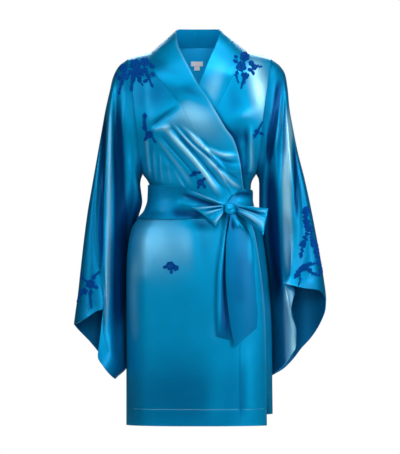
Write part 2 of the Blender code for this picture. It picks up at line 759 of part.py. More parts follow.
def build_knot(satin):
    """The knot: a rounded block that follows the belt behind it."""
    points = []
    for r in range(1, KNOT_RINGS):
        up = math.pi * r / KNOT_RINGS
        flat = math.sin(up) ** KNOT_BLUNT
        for c in range(KNOT_AROUND):
            turn = 2 * math.pi * c / KNOT_AROUND
            x = KNOT_X + KNOT_HALF_X * blunt(math.sin(turn)) * flat
            z = KNOT_Z + KNOT_HALF_Z * blunt(math.cos(up))
            points.append(lie(x, z, KNOT_OUT + KNOT_HALF_DEEP * blunt(math.cos(turn)) * flat))
    top = len(points)
    points.append(lie(KNOT_X, KNOT_Z + KNOT_HALF_Z, KNOT_OUT))
    points.append(lie(KNOT_X, KNOT_Z - KNOT_HALF_Z, KNOT_OUT))
    faces = grid_faces(KNOT_RINGS - 1, KNOT_AROUND, True)
    for c in range(KNOT_AROUND):
        after = (c + 1) % KNOT_AROUND
        faces.append((top, c, after))
        faces.append((top + 1, top - KNOT_AROUND + after, top - KNOT_AROUND + c))
    link("knot", np.array(points), faces, satin)


def build_loop(name, near, far, side, satin):
    """A bow loop, a band that runs out from the knot, turns at its far line and runs back behind."""
    grid = []
    for b in np.linspace(0, 1, LOOP_ROWS):
        root = near[0] + (near[1] - near[0]) * b
        end = far[0] + (far[1] - far[0]) * b
        row = []
        for c in range(LOOP_AROUND):
            turn = 2 * math.pi * c / LOOP_AROUND
            reach = (1 + math.cos(turn)) / 2 if side < 0 else (1 - math.cos(turn)) / 2
            fullness = LOOP_FLAT + (1 - LOOP_FLAT) * math.sqrt(abs(math.sin(math.pi * b)))
            puff = LOOP_HALF_DEEP * fullness * math.sin(turn)
            point = root + (end - root) * reach
            row.append(point - np.array((0, puff, 0)))
        grid.append(row)
    wall(name, np.array(grid, float), CLOTH, satin, closed=True)


def build_tail(name, table, columns, crease, satin):
    """A hanging tail with one crease along it."""
    grid = []
    for left_z, right_z, left_x, right_x, out in table:
        row = []
        for t in np.linspace(0, 1, columns):
            ridge = TAIL_RIDGE * math.exp(-(((t - crease) / TAIL_RIDGE_HALF) ** 2))
            ridge *= smooth((TAIL_RIDGE_TOP - left_z) / TAIL_RIDGE_FADE)
            row.append(lie(left_x + (right_x - left_x) * t, left_z + (right_z - left_z) * t, out + ridge))
        grid.append(row)
    wall(name, np.array(grid, float), CLOTH, satin)


def build_bow(satin):
    """The two loops beside the knot and the two tails below it."""
    left, right = KNOT_X - KNOT_HALF_X - LOOP_GAP, KNOT_X + KNOT_HALF_X + LOOP_GAP
    near = tuple(lie(left, z, KNOT_OUT) for z in RIGHT_LOOP_NEAR)
    build_loop("bow_loop_right", near, tuple(lie(*corner) for corner in RIGHT_LOOP_FAR), -1, satin)
    near = tuple(lie(right, z, KNOT_OUT) for z in LEFT_LOOP_NEAR)
    build_loop("bow_loop_left", near, tuple(np.array(corner) for corner in LEFT_LOOP_FAR), 1, satin)
    build_tail("tail_behind", LEFT_TAIL, 5, 0.45, satin)
    build_tail("tail_front", RIGHT_TAIL, 7, 0.72, satin)


LABEL_WALL = 0.8
LABELS = (
    # name, left x, right x, top z, lower z
    ("neck_label", -20, 8, -20, -31),
    ("size_tag", -12.5, 0.5, -31.5, -41),
)


def build_labels(tape):
    """The neck label and the size tag below it, on the inside of the back, both blank."""
    for name, left, right, top, low in LABELS:
        grid = []
        for z in np.linspace(top, low, 3):
            row = []
            for x in np.linspace(left, right, 5):
                y = depth("back", x, z, level_of(x, z)) + back_fold(x, z)
                row.append((x, y - CLOTH - SEAM - LABEL_WALL, z))
            grid.append(row)
        wall(name, np.array(grid, float), LABEL_WALL, tape)


def on_grid(grid, closed, row, column, out):
    """A point out mm above a wall's facets at fractional rows and columns."""
    rows, columns = grid.shape[:2]
    row = min(max(row, 0.0), rows - 1.001)
    r, c = int(row), int(math.floor(column))
    s, t = row - r, column - c
    after = (c + 1) % columns if closed else min(c + 1, columns - 1)
    c %= columns
    a, b, d, e = grid[r, c], grid[r, after], grid[r + 1, c], grid[r + 1, after]
    point = a + s * (d - a) + t * (e - d) if s >= t else a + t * (b - a) + s * (e - b)
    face = normals(grid, closed)
    up = (face[r, c] * (1 - t) + face[r, after] * t) * (1 - s)
    up = up + (face[r + 1, c] * (1 - t) + face[r + 1, after] * t) * s
    return point + up / np.linalg.norm(up) * out


def place_on(grid, x, z):
    """Fractional row and column of a front's grid at x and z."""
    rows, columns = grid.shape[:2]
    row, column = rows / 2, columns / 2
    for _ in range(SOLVE_STEPS):
        r, c = min(int(row), rows - 2), min(int(column), columns - 2)
        s, t = row - r, column - c
        column = float(np.interp(x, grid[r, :, 0] * (1 - s) + grid[r + 1, :, 0] * s, range(columns)))
        row = float(np.interp(-z, -(grid[:, c, 2] * (1 - t) + grid[:, c + 1, 2] * t), range(rows)))
    return row, column


LACE_GAP = 0.8  # space between a front and its lace, and between a sleeve and its lace
SLEEVE_LACE_GAP = 1.1
# Lace sprays on the fronts: a path from point to point in x and z, half width, number of leaves
FRONT_SPRAYS = (
    # name, piece, path, half width, leaves
    ("lace_shoulder_right", "over", ((-156, -34), (-146, -36), (-132, -48), (-121, -62), (-110, -80)), 9, 4),
    ("lace_bust_right", "over", ((-132, -148), (-128, -166), (-123, -184), (-116, -202), (-106, -211)), 5, 4),
    ("lace_waist_high", "over", ((-20, -288), (-10, -284), (3, -287)), 5, 2),
    ("lace_waist_low", "over", ((-6, -302), (-2, -310), (3, -318)), 6, 2),
    ("lace_skirt", "over", ((-82, -506), (-66, -502), (-50, -500)), 9, 3),
    ("lace_shoulder_left", "under", ((96, -22), (106, -34), (110, -46), (106, -62), (101, -76)), 9, 4),
    ("lace_collar_side_left", "under", ((118, -36), (130, -38), (140, -36)), 9, 2),
    ("lace_bust_left", "under", ((136, -196), (140, -186), (148, -176)), 5, 3),
)
# Lace sprays on the sleeves: a path in rings and in places round the sleeve
SLEEVE_SPRAYS = (
    ("lace_sleeve_top_right", "right", ((1.2, 0.24), (2.0, 0.26), (2.7, 0.3)), 6, 3),
    ("lace_sleeve_fold_right", "right", ((8.0, 0.30), (8.8, 0.33), (9.6, 0.36)), 3.5, 4),
    ("lace_cuff_right", "right", ((10.6, 0.10), (10.9, 0.16), (10.6, 0.22), (10.1, 0.29)), 10, 4),
    ("lace_cuff_left_high", "left", ((8.2, 0.22), (8.7, 0.26), (9.3, 0.25), (9.9, 0.27)), 8, 4),
    ("lace_cuff_left_low", "left", ((10.1, 0.33), (10.6, 0.24), (10.9, 0.15), (11.1, 0.08)), 8, 4),
    ("lace_cuff_left_side", "left", ((9.4, 0.14), (10.0, 0.11), (10.6, 0.07)), 6, 3),
)


SPRAY_STATIONS = 11
SPRAY_NARROW = 0.35  # width between two leaves, as a share of the full width
SPRAY_ENDS = 0.02  # share of a leaf that each end is cut short by
COLUMN_WIDTH = 14.0  # mean width of a column on a sleeve
FINE = np.linspace(-1, 1, 5)
COARSE = np.linspace(-1, 1, 3)


def spray_rows(path, leaves):
    """Points along a path with the share of the full width at each, swelling at each leaf."""
    last = len(path) - 1
    for s in np.linspace(0, last, SPRAY_STATIONS):
        first, second = (curve(range(len(path)), [p[k] for p in path], s) for k in (0, 1))
        swell = abs(math.sin(math.pi * leaves * (s / last * (1 - 2 * SPRAY_ENDS) + SPRAY_ENDS)))
        yield first, second, SPRAY_NARROW + (1 - SPRAY_NARROW) * swell


def front_spray(grid, path, half, leaves):
    """Rows of a lace spray on a front."""
    across = COARSE if half < 7 else FINE
    spots = list(spray_rows(path, leaves))
    rows = []
    for i, (x, z, share) in enumerate(spots):
        before, after = spots[max(i - 1, 0)], spots[min(i + 1, len(spots) - 1)]
        dx, dz = after[0] - before[0], after[1] - before[1]
        wide = half * share / math.hypot(dx, dz)
        points = [place_on(grid, x - dz * wide * t, z + dx * wide * t) for t in across]
        rows.append([on_grid(grid, False, *point, LACE_GAP + LACE) for point in points])
    return rows


def sleeve_spray(grid, side, path, half, leaves):
    """Rows of a lace spray on a sleeve."""
    across = COARSE if half < 5 else FINE
    rows = []
    for ring, place, share in spray_rows(path, leaves):
        column = np.interp(place, AROUND, range(len(AROUND)))
        centre = column if side < 0 else len(AROUND) - 1 - column
        steps = half * share * across / COLUMN_WIDTH
        rows.append([on_grid(grid, True, ring, centre + step, SLEEVE_LACE_GAP + LACE) for step in steps])
    return rows


def build_lace(fronts, sleeves, lace):
    """The raised lace motifs, each made from the points of the panel that it lies on."""
    for name, piece, path, half, leaves in FRONT_SPRAYS:
        wall(name, np.array(front_spray(fronts[piece], path, half, leaves), float), LACE, lace)
    for name, piece, path, half, leaves in SLEEVE_SPRAYS:
        wall(name, np.array(sleeve_spray(*sleeves[piece], path, half, leaves), float), LACE, lace)


def main():
    """Builds the whole robe."""
    for old in list(bpy.data.objects):
        bpy.data.objects.remove(old, do_unlink=True)
    satin = cloth("silk_satin", *SATIN)
    lace = cloth("lace", *LACE_THREAD)
    tape = cloth("label_tape", *LABEL_TAPE)
    over, under = build_panels(satin)
    build_collar(satin)
    right, left = build_sleeves(satin)
    build_belt(satin)
    build_knot(satin)
    build_bow(satin)
    build_labels(tape)
    build_lace({"over": over, "under": under}, {"right": (right, -1), "left": (left, 1)}, lace)


if __name__ == "__main__":
    main()
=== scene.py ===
"""Short kimono robe in silk satin: its cloth, lace, sash and labels, with a studio round it.

Sizes are in millimetres and become metres where a mesh is made. The robe faces -Y, its shoulders lie at
the origin and the wearer's right is at -X.
"""

import math

import bmesh
import bpy
import numpy as np
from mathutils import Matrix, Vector
from mathutils.bvhtree import BVHTree


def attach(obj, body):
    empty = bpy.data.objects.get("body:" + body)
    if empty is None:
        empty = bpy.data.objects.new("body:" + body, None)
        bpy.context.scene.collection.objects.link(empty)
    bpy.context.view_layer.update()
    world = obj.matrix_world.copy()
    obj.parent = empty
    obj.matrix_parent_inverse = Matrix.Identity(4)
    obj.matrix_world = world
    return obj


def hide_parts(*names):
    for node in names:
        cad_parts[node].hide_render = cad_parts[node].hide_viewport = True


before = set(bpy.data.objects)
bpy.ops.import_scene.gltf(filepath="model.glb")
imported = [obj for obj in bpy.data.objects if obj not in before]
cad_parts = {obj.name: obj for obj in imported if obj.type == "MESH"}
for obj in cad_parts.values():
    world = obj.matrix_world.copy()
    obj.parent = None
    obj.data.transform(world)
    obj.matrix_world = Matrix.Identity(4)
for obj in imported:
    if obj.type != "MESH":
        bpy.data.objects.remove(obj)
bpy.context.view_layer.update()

bl_info = {
    "name": "Short kimono robe",
    "version": (1, 0, 0),
    "blender": (4, 5, 0),
    "location": "3D View > Sidebar > Robe",
    "description": "Dresses a short satin kimono robe in its cloth, lace and sash",
    "category": "Object",
}

BODY = "root"
SEAM = 0.03  # half of the space between two pieces at a seam
COLLAR_SEAM = 0.3  # the same where the collar band is sewn on, which is a deeper line
SEAM_EASE, BACK_SEAM_EASE = 8, 7  # folds reach their height over 1/8 and 1/7 of a panel's width
SLEEVE_SEAM = 0.1  # how far a sleeve starts outside its armhole
NECK_DROP = 0.2  # how far below the back's edge the band starts
CENTRE_SEAM_X = -6.0  # join of the two collar halves at the back
CENTRE_DIPS = (1.2, 0.3)  # how far the band's first rows dip in there
SHOULDER_X = 168.0  # top of the armhole
SHOULDER_Z = -16.5
SHOULDER_FADE = 230.0  # height over which the rows lose the shoulder's rise
ROLL = 75.0  # height over which the shoulder rounds forwards
UNDERARM_X = 133.0
UNDERARM_Z = -287.0
ARMHOLE = {"front": 66.0, "back": 62.0}  # how far the armhole reaches from the shoulder line
ARMHOLE_END = UNDERARM_Z + 15  # level of the lowest row that is squared to the armhole
FULLER_FROM = -230.0  # level from which the cloth is fuller at its sides, wholly so at the underarm
SECTION_POWER = 2.3  # how square the figure is across
OVER = 5.0  # how far the over front stands outside the under front
OVER_EASE = 45.0  # width beside its side seam over which it comes to stand so
OVER_COLLAR_OUT, UNDER_COLLAR_OUT = 0.5, 0.3  # how far each collar half lies outside its front
HEM_Z = -876.0
HEM_STEP = 0.5  # how far the doubled hem stands out
HEM_ROUND = 3.0  # height over which it does
HEM_LIFT = 26.0  # how much shorter the under front and the back hang at the wearer's left
HEM_LIFT_FROM, HEM_LIFT_WIDE = 118.0, 38.0  # x where that begins, and the width over which it grows
HEM_LIFT_HIGH = 120.0  # height above the hem over which it does
STEP = 4.0  # spacing of the cloth's points
CREASED_FROM, CREASED_TO = -120.0, -330.0  # where they are twice as close
TABLE_STEP = 0.12  # spacing between a table's rows, in rows
RING_STEP = 0.085  # the same for the sleeves' rings
SETTLE_ROUNDS, SETTLE_SHARE = 12, 0.8  # repeats that find the row through a point, and their step
PATH_STEPS = 24  # points of a smooth path
PATH_PAST, PATH_FADE = 0.08, 0.3  # shares of a fold's path: how far it runs past it, and its fading ends
SHARP_FROM = 50.0  # degrees between two faces that meet in a sharp edge

# Painted shade and highlight of the satin, each as the height or depth of a fold painted with the same
# tone: the belt's front, the sleeves and the tails are painted darker over all
BELT_SHADE = 2.2
SLEEVE_SHADE = 2.2
TAIL_SHADE = {"tail_front": 2.9, "tail_behind": 3.4}
BAND_SHADE = 3.4  # painted shadow beside the over front's edge, on the under front
BAND_SHADE_WIDE = 8.0  # how far that painted shadow reaches
BAND_SHADE_FROM, BAND_SHADE_FADE = -82.0, 14.0  # height where it begins, and over which it grows
EDGE_GLEAM, EDGE_GLEAM_WIDE = 2.0, 1 / 8  # painted highlight along the over front's edge, and its share of the band
BACK_TONE = 0.4  # share of the back's creases that its painted highlight and shade follow
SWELL_RISE = 0.5  # share of a swell's height that the cloth stands out; its whole height is painted as highlight or shade

# The figure at each height: half widths to the viewer's left and right, depth to the front and back
FIGURE = {
    "z": (20, -60, -120, -160, -220, -287, -300, -313, -345, -372, -387, -400, -416, -456, -493, -536,
          -595, -658, -760, -876),
    "left": (168, 162, 155, 150, 142, 133, 124, 118, 119, 127, 140, 151, 160, 168, 171, 172, 172, 172,
             172, 172),
    "right": (168, 162, 155, 150, 142, 133, 125, 121, 120, 126, 134, 140, 145, 152, 157, 162, 167, 170,
              171, 172),
    "front": (72, 96, 109, 112, 105, 92, 88, 85, 82, 84, 88, 92, 96, 102, 105, 107, 108, 109, 111, 112),
    "back": (90, 96, 97, 96, 92, 82, 79, 75, 70, 74, 79, 84, 92, 102, 106, 108, 109, 109, 110, 111),
}

# Rise of the shoulder line above SHOULDER_Z, and how far back it lies, at each distance from the middle
SHOULDER = {
    "x": (0, 45, 84, 112, 140, 168),
    "rise": (28.5, 28.5, 25, 17.5, 9, 0),
    "back": (92, 87, 62, 18, 7, 0),
}

# Seam of the collar band on each front, as x at each height
OVER_SEAM = {
    "z": (1, -12, -32, -61, -81, -105, -135, -182, -226, -253, -284, -332, -372, -430, -560, -876),
    "x": (-112, -117, -113, -98, -78, -59, -39, -15, 5, 26, 47, 72, 80, 88, 94, 95),
}
UNDER_SEAM = {
    "z": (1, -12, -40, -72, -101, -137, -182, -226, -284, -332, -372, -430, -876),
    "x": (112, 106, 84, 71, 56, 38, 15, -5, -20, -30, -36, -42, -46),
}

# The collar band from the centre back to the shoulder: seam point, then free edge point
NECK_OVER = (
    # seam x, y, z, free x, y, z
    (-6, 92, 12, -6, 62, 55),
    (-45, 87, 12, -30, 56, 55),
    (-84, 62, 8.5, -48, 36, 55),
    (-112, 18, 1, -55, 6, 51),
)
NECK_UNDER = (
    (-6, 92, 12, -6, 62, 55),
    (45, 87, 12, 30, 56, 55),
    (84, 62, 8.5, 46, 36, 55),
    (112, 18, 1, 49, 6, 50),
)

# The band's free edge from the shoulder down, by the height of its seam. Stand is 1 where it stands
# free of the figure at depth y, and 0 where it lies on the figure.
OVER_FREE = {
    "seam z": (1, -12, -32, -61, -81, -105, -135, -182, -226, -253, -284, -332, -372, -430, -490, -560,
               -660, HEM_Z),
    "x": (-55, -54, -49, -36, -19, -2, 14, 39, 62, 79, 92, 103, 111, 130, 140, 149, 155, 158),
    "z": (51, 36, 12, -16, -49, -81, -103, -144, -182, -206, -246, -318, -372, -430, -490, -560, -660,
          HEM_Z),
    "y": (6, -17, -40, -66, -88, -100, 0, 0, 0, 0, 0, 0, 0, 0, 0, 0, 0, 0),
    "stand": (1, 1, 1, 1, 0.8, 0, 0, 0, 0, 0, 0, 0, 0, 0, 0, 0, 0, 0),
}
UNDER_FREE = {
    "seam z": (1, -12, -28, -40, -72, -101, -137, -182, -226, -284, -332, -372, -430, -660, HEM_Z),
    "x": (49, 45, 37, 27, 13, -2, -17, -40, -58, -66, -70, -76, -90, -104, -106),
    "z": (50, 34, 12, -10, -45, -81, -107, -150, -200, -270, -332, -372, -430, -660, HEM_Z),
    "y": (6, -17, -40, -62, -88, -100, 0, 0, 0, 0, 0, 0, 0, 0, 0),
    "stand": (1, 1, 1, 1, 0.8, 0, 0, 0, 0, 0, 0, 0, 0, 0, 0),
}

# Row levels of the fronts and the back, closest where the shoulder rounds and at the waist
LEVELS = (-16.5, -22, -32, -46, -64, -88, -116, -148, -182, -216, -250, -280, -300, -318, -345, -372,
          -393, -414, -448, -500, -580, -680, -780, HEM_Z)

# Sleeves: a row for each ring from the armhole to the cuff. Outer and inner edge as distance from the
# middle and height, depth to the front and back, how far back the inner edge lies, and the share of
# the cuff's own shape.
RIGHT_RINGS = (
    # outer x, outer z, inner x, inner z, front, back, inner y, cuff share
    (168, -16.5, 133, -287, 66, 62, 0, 0),
    (189, -33, 135, -292, 64, 61, 0, 0),
    (203, -59, 137.5, -299, 60, 58, 0, 0),
    (211.5, -94, 139, -311, 56, 55, 0, 0),
    (221, -136, 137, -328, 52, 52, 0, 0),
    (231.5, -195, 134.5, -352, 48, 50, 8, 0),
    (242, -254, 144, -388, 46, 48, 28, 0),
    (252.6, -315, 156, -424, 44, 46, 40, 0),
    (263, -376, 162, -474, 42, 46, 48, 0.05),
    (272.6, -449, 166, -540, 42, 46, 50, 0.18),
    (279.7, -512, 169.5, -610, 42, 46, 50, 0.38),
    (286.7, -576, 169.5, -680, 42, 46, 50, 0.62),
    (291.8, -612, 169.5, -737, 42, 46, 50, 0.84),
    (295.4, -640, 195, -767, 42, 46, 30, 1),
)
LEFT_RINGS = (
    (168, -16.5, 133, -287, 66, 62, 0, 0),
    (187, -31, 135, -291, 64, 61, 0, 0),
    (201, -52, 138.5, -298, 60, 58, 0, 0),
    (207, -85, 140, -311, 56, 55, 0, 0),
    (211.5, -132, 140, -329, 52, 52, 0, 0),
    (219.7, -179, 140, -353, 50, 50, 8, 0),
    (231.5, -237, 141, -386, 48, 48, 24, 0),
    (247, -298, 145, -424, 46, 46, 38, 0),
    (260, -357, 150, -474, 44, 46, 42, 0.05),
    (272.6, -421, 157, -540, 44, 48, 42, 0.18),
    (284.3, -484, 162, -608, 44, 48, 42, 0.38),
    (292.6, -536, 169, -680, 44, 50, 44, 0.62),
    (296, -560, 169, -735, 44, 52, 46, 0.84),
    (298, -580, 168, -766, 44, 54, 48, 1),
)

# The edge of each cuff: a row for each place round it, 0 at the outer edge, 1 at the inner edge and on
# to 2 round the back
RIGHT_CUFF = {
    "place": (0, 0.12, 0.25, 0.36, 0.44, 0.50, 0.55, 0.62, 0.72, 0.82, 0.90, 1.0, 1.15, 1.35, 1.6, 1.85, 2),
    "x": (295.4, 285, 262, 240, 226, 231, 238, 226, 208, 200, 198, 195, 206, 228, 257, 287, 295.4),
    "y": (0, -22, -40, -44, -36, -46, -60, -64, -52, -34, -14, 16, 42, 54, 46, 20, 0),
    "z": (-640, -636, -622, -608, -604, -655, -712, -735, -758, -766, -768, -765, -750, -720, -683, -651,
          -640),
}
LEFT_CUFF = {
    "place": (0, 0.10, 0.20, 0.32, 0.40, 0.45, 0.51, 0.57, 0.64, 0.71, 0.78, 0.85, 0.92, 1.0, 1.2, 1.35,
              1.5, 1.65, 1.8, 1.92, 2),
    "x": (298, 290, 275, 245, 215, 196, 208, 222, 213, 226, 226, 214, 196, 168, 196, 222, 240, 264, 285,
          297, 298),
    "y": (0, -18, -34, -50, -58, -60, -44, -38, -36, -38, -34, -26, -6, 34, 64, 66, 62, 50, 30, 12, 0),
    "z": (-580, -566, -558, -554, -547, -543, -556, -566, -610, -655, -690, -712, -738, -762, -747, -722,
          -698, -671, -637, -602, -580),
}

FRONT_PLACES = 0.6  # share of a sleeve's places that lie on its front
SLEEVE_FULLER, FULLER_RING = 0.15, 3  # how much fuller than a half circle it is, wholly so from that ring
INNER_POWER = 1.5  # how late round a sleeve its inner edge's step back is taken up
FOLD_RINGS = (4, 12)  # the rings that a long fold's places are given at
FRONT_FOLD_SHARE = 0.5  # share of a long fold's height on the front, where creases are laid over it
CUFF_FOLD_LOSS, CUFF_CREASE_LOSS = 0.75, 0.6  # shares of their height that end before the cuff
CREASE_EASE, CREASE_RINGS = 9, 1.5  # creases reach their height over 1/9 of the front and in 1.5 rings

# Long folds of each sleeve: place round it at ring 4 and at ring 12, half width in places, height
# outwards, and the rings where it starts and is full
RIGHT_SLEEVE_FOLDS = (
    (0.07, 0.47, 0.05, -9.0, 3, 6),
    (0.21, 0.57, 0.07, 13.5, 1, 4),
    (0.35, 0.72, 0.07, -15.0, 1, 4),
    (0.50, 0.85, 0.07, 9.0, 0, 4),
    (0.68, 0.92, 0.06, -9.0, 0, 3),
    (1.35, 1.30, 0.10, 9.0, 0, 4),
    (1.60, 1.58, 0.09, -10.5, 2, 6),
    (1.80, 1.80, 0.08, 7.5, 2, 6),
)
LEFT_SLEEVE_FOLDS = (
    (0.10, 0.40, 0.05, -7.5, 4, 7),
    (0.20, 0.52, 0.07, 13.5, 1, 4),
    (0.33, 0.70, 0.07, -13.5, 1, 4),
    (0.47, 0.82, 0.07, 10.5, 0, 4),
    (0.64, 0.91, 0.06, -10.5, 0, 3),
    (1.30, 1.32, 0.10, 9.0, 0, 4),
    (1.55, 1.55, 0.09, -10.5, 2, 6),
    (1.78, 1.78, 0.08, 7.5, 2, 6),
)

# The sash: height of its upper and lower edge across the front
BELT_TOP = {
    "x": (-130, -90, -46, -16, 19, 52, 66, 78, 109, 130),
    "z": (-312, -315, -317, -328, -341, -353, -352, -338, -323, -330),
}
BELT_BOTTOM = {
    "x": (-135, -69, -16, 30, 63, 78, 95, 130),
    "z": (-388, -393, -391, -388, -384, -384, -391, -396),
}
BELT_BEHIND_TOP, BELT_BEHIND_LOW = (-314, -324), -392  # the same at the back, from side to side
BELT_LEVEL = -350.0  # level at which its places round the waist are found
BELT_OUT_FRONT, BELT_OUT_BACK = 9.5, 3.6  # how far the belt lies off the figure
BELT_TURNS_RIGHT, BELT_TURNS_LEFT = -0.05, 0.1  # how far past each side it begins to lie closer
BELT_TURN_FADE, BELT_EASE = 0.45, 4  # how slowly it does, and how soon its creases reach their height
BELT_RIPPLE = (1.2, 9, 60)  # height of its ripples at the back, and their spacing down and across
KNOT_X, KNOT_Z = 71.7, -368.0
KNOT_HALF_X, KNOT_HALF_Z, KNOT_HALF_DEEP = 14.5, 13.0, 11.5
KNOT_OUT = BELT_OUT_FRONT + 0.7 + KNOT_HALF_DEEP  # how far its middle lies off the figure
KNOT_FLAT, KNOT_BLUNT = 0.75, 0.8  # how square it is at its top and bottom, and all round
KNOT_CREASES = ((1.1, 5, 1.3, 0), (0.8, 9, 3, 1))  # height, how many, slant and start
KNOT_PINCH, KNOT_PINCHES = 0.08, 4
LOOP_BESIDE = 0.6  # room between a loop and the knot
LOOP_HALF_DEEP = 10.0
LOOP_DEEP_SHARES = (0.7, 0.3)  # share of that at a loop's edges, and what its middle adds
LOOP_PARTS, LOOP_ROUND = 1.6, 0.8  # how soon its two layers part, and how round it opens
LOOP_REAR_CREASE, LOOP_EASE = 0.4, 6  # share of its creases at the rear, and how soon they rise
RIGHT_LOOP_END = ((-18.6, -366, 23), (38.8, -411, 23))  # upper and lower corner: x, z, distance outside
LEFT_LOOP_END = ((161, -86, -368), (149, -108, -431))  # the same as x, y and z, clear of the figure
LOOP_LOW = -377.0  # height of a loop's lower edge at the knot
BOW_WALL = 1.5  # wall of the knot, the loops and the tails
# Each tail: heights and x of its left and right edges, and its distance outside the figure
LEFT_TAIL = (
    # left z, right z, left x, right x, out
    (-381.5, -381.5, 61.5, 71, 20),
    (-400, -400, 60, 75, 13),
    (-438, -438, 52, 78, 9),
    (-500, -500, 41, 84, 8.5),
    (-560, -560, 37, 86, 8.5),
    (-625, -630, 37.5, 80, 8.5),
    (-664, -675, 39.5, 74, 8.5),
)
RIGHT_TAIL = (
    (-381.5, -381.5, 72.6, 83, 21),
    (-400, -398, 70, 95, 18),
    (-425, -420, 65, 115, 14),
    (-455, -446, 62, 125, 13),
    (-517, -506, 61, 128.5, 12.5),
    (-576, -569, 64.5, 132, 12.5),
    (-640, -615, 72, 136, 12.5),
    (-693, -647, 82.5, 134, 12.5),
)

# Folds of each front and its band, and of the back: a path of (x, z), half width, height outwards, and how
# much wider the fold is on the left of its path than on the right. Their ridges are painted lighter and
# their troughs darker, as highlight and shade.
OVER_FOLDS = (
    (((-84, -178), (-55, -210), (-8, -261), (25, -306), (44, -334)), 6.5, 5.5, 0.2),
    (((-64, -180), (-22, -228), (25, -284), (52, -318)), 4, -3.4, 0.0),
    (((-58, -176), (-18, -219), (34, -266), (69, -320)), 3.4, 4.2, -0.2),
    (((-48, -180), (1, -228), (36, -258)), 3, -2.4, 0.0),
    (((-40, -176), (8, -222), (44, -260), (74, -300)), 3, 2.4, 0.0),
    (((-98, -188), (-66, -226), (-22, -276), (8, -316)), 5, -2.2, 0.2),
    (((-100, -202), (-70, -244), (-34, -290), (-16, -318)), 6, 1.6, 0.0),
    (((-88, -232), (-62, -268), (-40, -300), (-30, -320)), 4, -1.4, 0.0),
    (((-22, -194), (15, -226), (48, -241), (84, -246)), 7, 4.6, -0.35),
    (((2, -206), (30, -238), (62, -256), (92, -262)), 5, -2.6, 0.0),
    (((14, -252), (44, -276), (76, -306), (98, -320)), 4.5, 4.0, -0.3),
    (((36, -262), (64, -284), (96, -302)), 4, -2.2, 0.0),
    (((-112, -178), (-78, -153), (-44, -131)), 6, -2.6, 0.3),
    (((-110, -186), (-92, -182), (-66, -176)), 5, 2.0, 0.0),
    (((-127, -190), (-122, -240), (-116, -302)), 5, 2.6, 0.3),
    (((-118, -206), (-114, -262), (-108, -306)), 4, -1.8, 0.0),
    (((-108, -226), (-107, -270), (-104, -308)), 3.5, 1.3, 0.2),
    (((-99, -244), (-98, -276), (-96, -310)), 3, -1.1, 0.2),
    (((-91, -240), (-90, -280), (-87, -309)), 3.5, 1.2, -0.2),
    (((-76, -256), (-72, -284), (-67, -309)), 3.5, 1.0, 0.0),
    (((-60, -270), (-48, -298), (-36, -322)), 3.5, 1.8, 0.0),
    (((-122, -58), (-124, -110), (-118, -186)), 13, 1.2, 0.3),
    (((-132, -420), (-130, -460), (-130, -540)), 18, 1.0, 0.0),
    (((-150, -470), (-156, -560), (-150, -700)), 12, 2.0, 0.0),
    (((30, -620), (40, -740), (36, -870)), 22, 1.0, 0.0),
    (((96, -732), (99, -800), (97, -858)), 9, -0.9, 0.3),
    (((116, -700), (120, -780), (119, -870)), 10, 1.2, 0.0),
)
UNDER_FOLDS = (
    (((118, -178), (120, -230), (121, -292)), 6, 3.0, 0.2),
    (((108, -180), (110, -230), (112, -300)), 6, -2.6, 0.0),
    (((84, -262), (92, -284), (98, -312)), 5, 2.4, 0.0),
    (((126, -440), (140, -520), (146, -640)), 12, 2.4, 0.2),
    (((120, -600), (126, -720), (124, -870)), 16, -2.0, 0.0),
    (((156, -560), (160, -700), (158, -860)), 8, 2.2, 0.0),
)
BACK_FOLDS = (
    (((-116, -60), (-120, -120), (-108, -230)), 14, 4.0, 0.3),
    (((112, -56), (120, -118), (110, -226)), 13, 3.6, -0.3),
    (((-64, -150), (-46, -214), (-20, -300)), 12, 3.0, 0.2),
    (((70, -146), (44, -216), (16, -302)), 11, 2.8, -0.2),
    (((-98, -206), (-74, -258), (-58, -306)), 8, 2.6, 0.0),
    (((96, -210), (80, -256), (66, -304)), 9, 2.4, 0.0),
    (((-30, -244), (-26, -276), (-30, -308)), 5, 2.2, 0.0),
    (((34, -236), (30, -272), (36, -306)), 5, 2.4, 0.0),
    (((2, -252), (4, -280), (2, -310)), 5, -1.8, 0.0),
    (((-82, -404), (-90, -448), (-92, -520)), 11, 3.0, 0.2),
    (((-34, -402), (-38, -440), (-44, -500)), 10, 2.6, 0.0),
    (((20, -404), (24, -446), (28, -514)), 12, -2.4, 0.0),
    (((66, -402), (76, -450), (82, -530)), 11, 3.0, -0.2),
    (((-116, -560), (-108, -700), (-112, -868)), 24, 3.2, 0.0),
    (((-40, -540), (-34, -700), (-38, -870)), 22, -2.6, 0.0),
    (((38, -560), (44, -700), (40, -866)), 24, 3.0, 0.0),
    (((108, -540), (116, -700), (112, -868)), 20, -2.4, 0.0),
)
# Broad soft swells and hollows of the two fronts, painted lighter or darker as highlight and shade by their
# whole height: x, z, half length, half width, heading of the length in degrees, height outwards
OVER_SWELLS = (
    (-22, -146, 80, 38, -36, 3.8),
    (-16, -98, 38, 15, -36, -2.6),
    (-74, -172, 34, 13, 38, 1.2),
    (-100, -100, 64, 50, 0, -4.2),
    (-56, -110, 24, 18, 30, -1.6),
    (-96, -30, 34, 20, -30, -2.0),
    (-62, -66, 32, 11, -22, 2.2),
    (-92, -450, 80, 62, -80, 2.6),
    (-30, -452, 50, 24, -82, 1.2),
    # painted shadow under the left bow loop
    (6, -404, 38, 14, -8, -2.2),
    (6, -450, 60, 18, -85, -1.6),
    (60, -262, 30, 14, -40, -2.0),
    (-30, -810, 190, 110, 0, -2.8),
)
UNDER_SWELLS = (
    (138, -80, 64, 22, -82, 7.0),
    (36, -82, 54, 24, 66, 2.8),
    (80, -120, 70, 30, -80, -2.3),
    (104, -150, 24, 14, 20, 2.4),
    (86, -200, 36, 22, 0, -2.6),
    (92, -250, 44, 15, -70, -2.0),
)
FORMS = {"over": (OVER_FOLDS, OVER_SWELLS), "under": (UNDER_FOLDS, UNDER_SWELLS)}
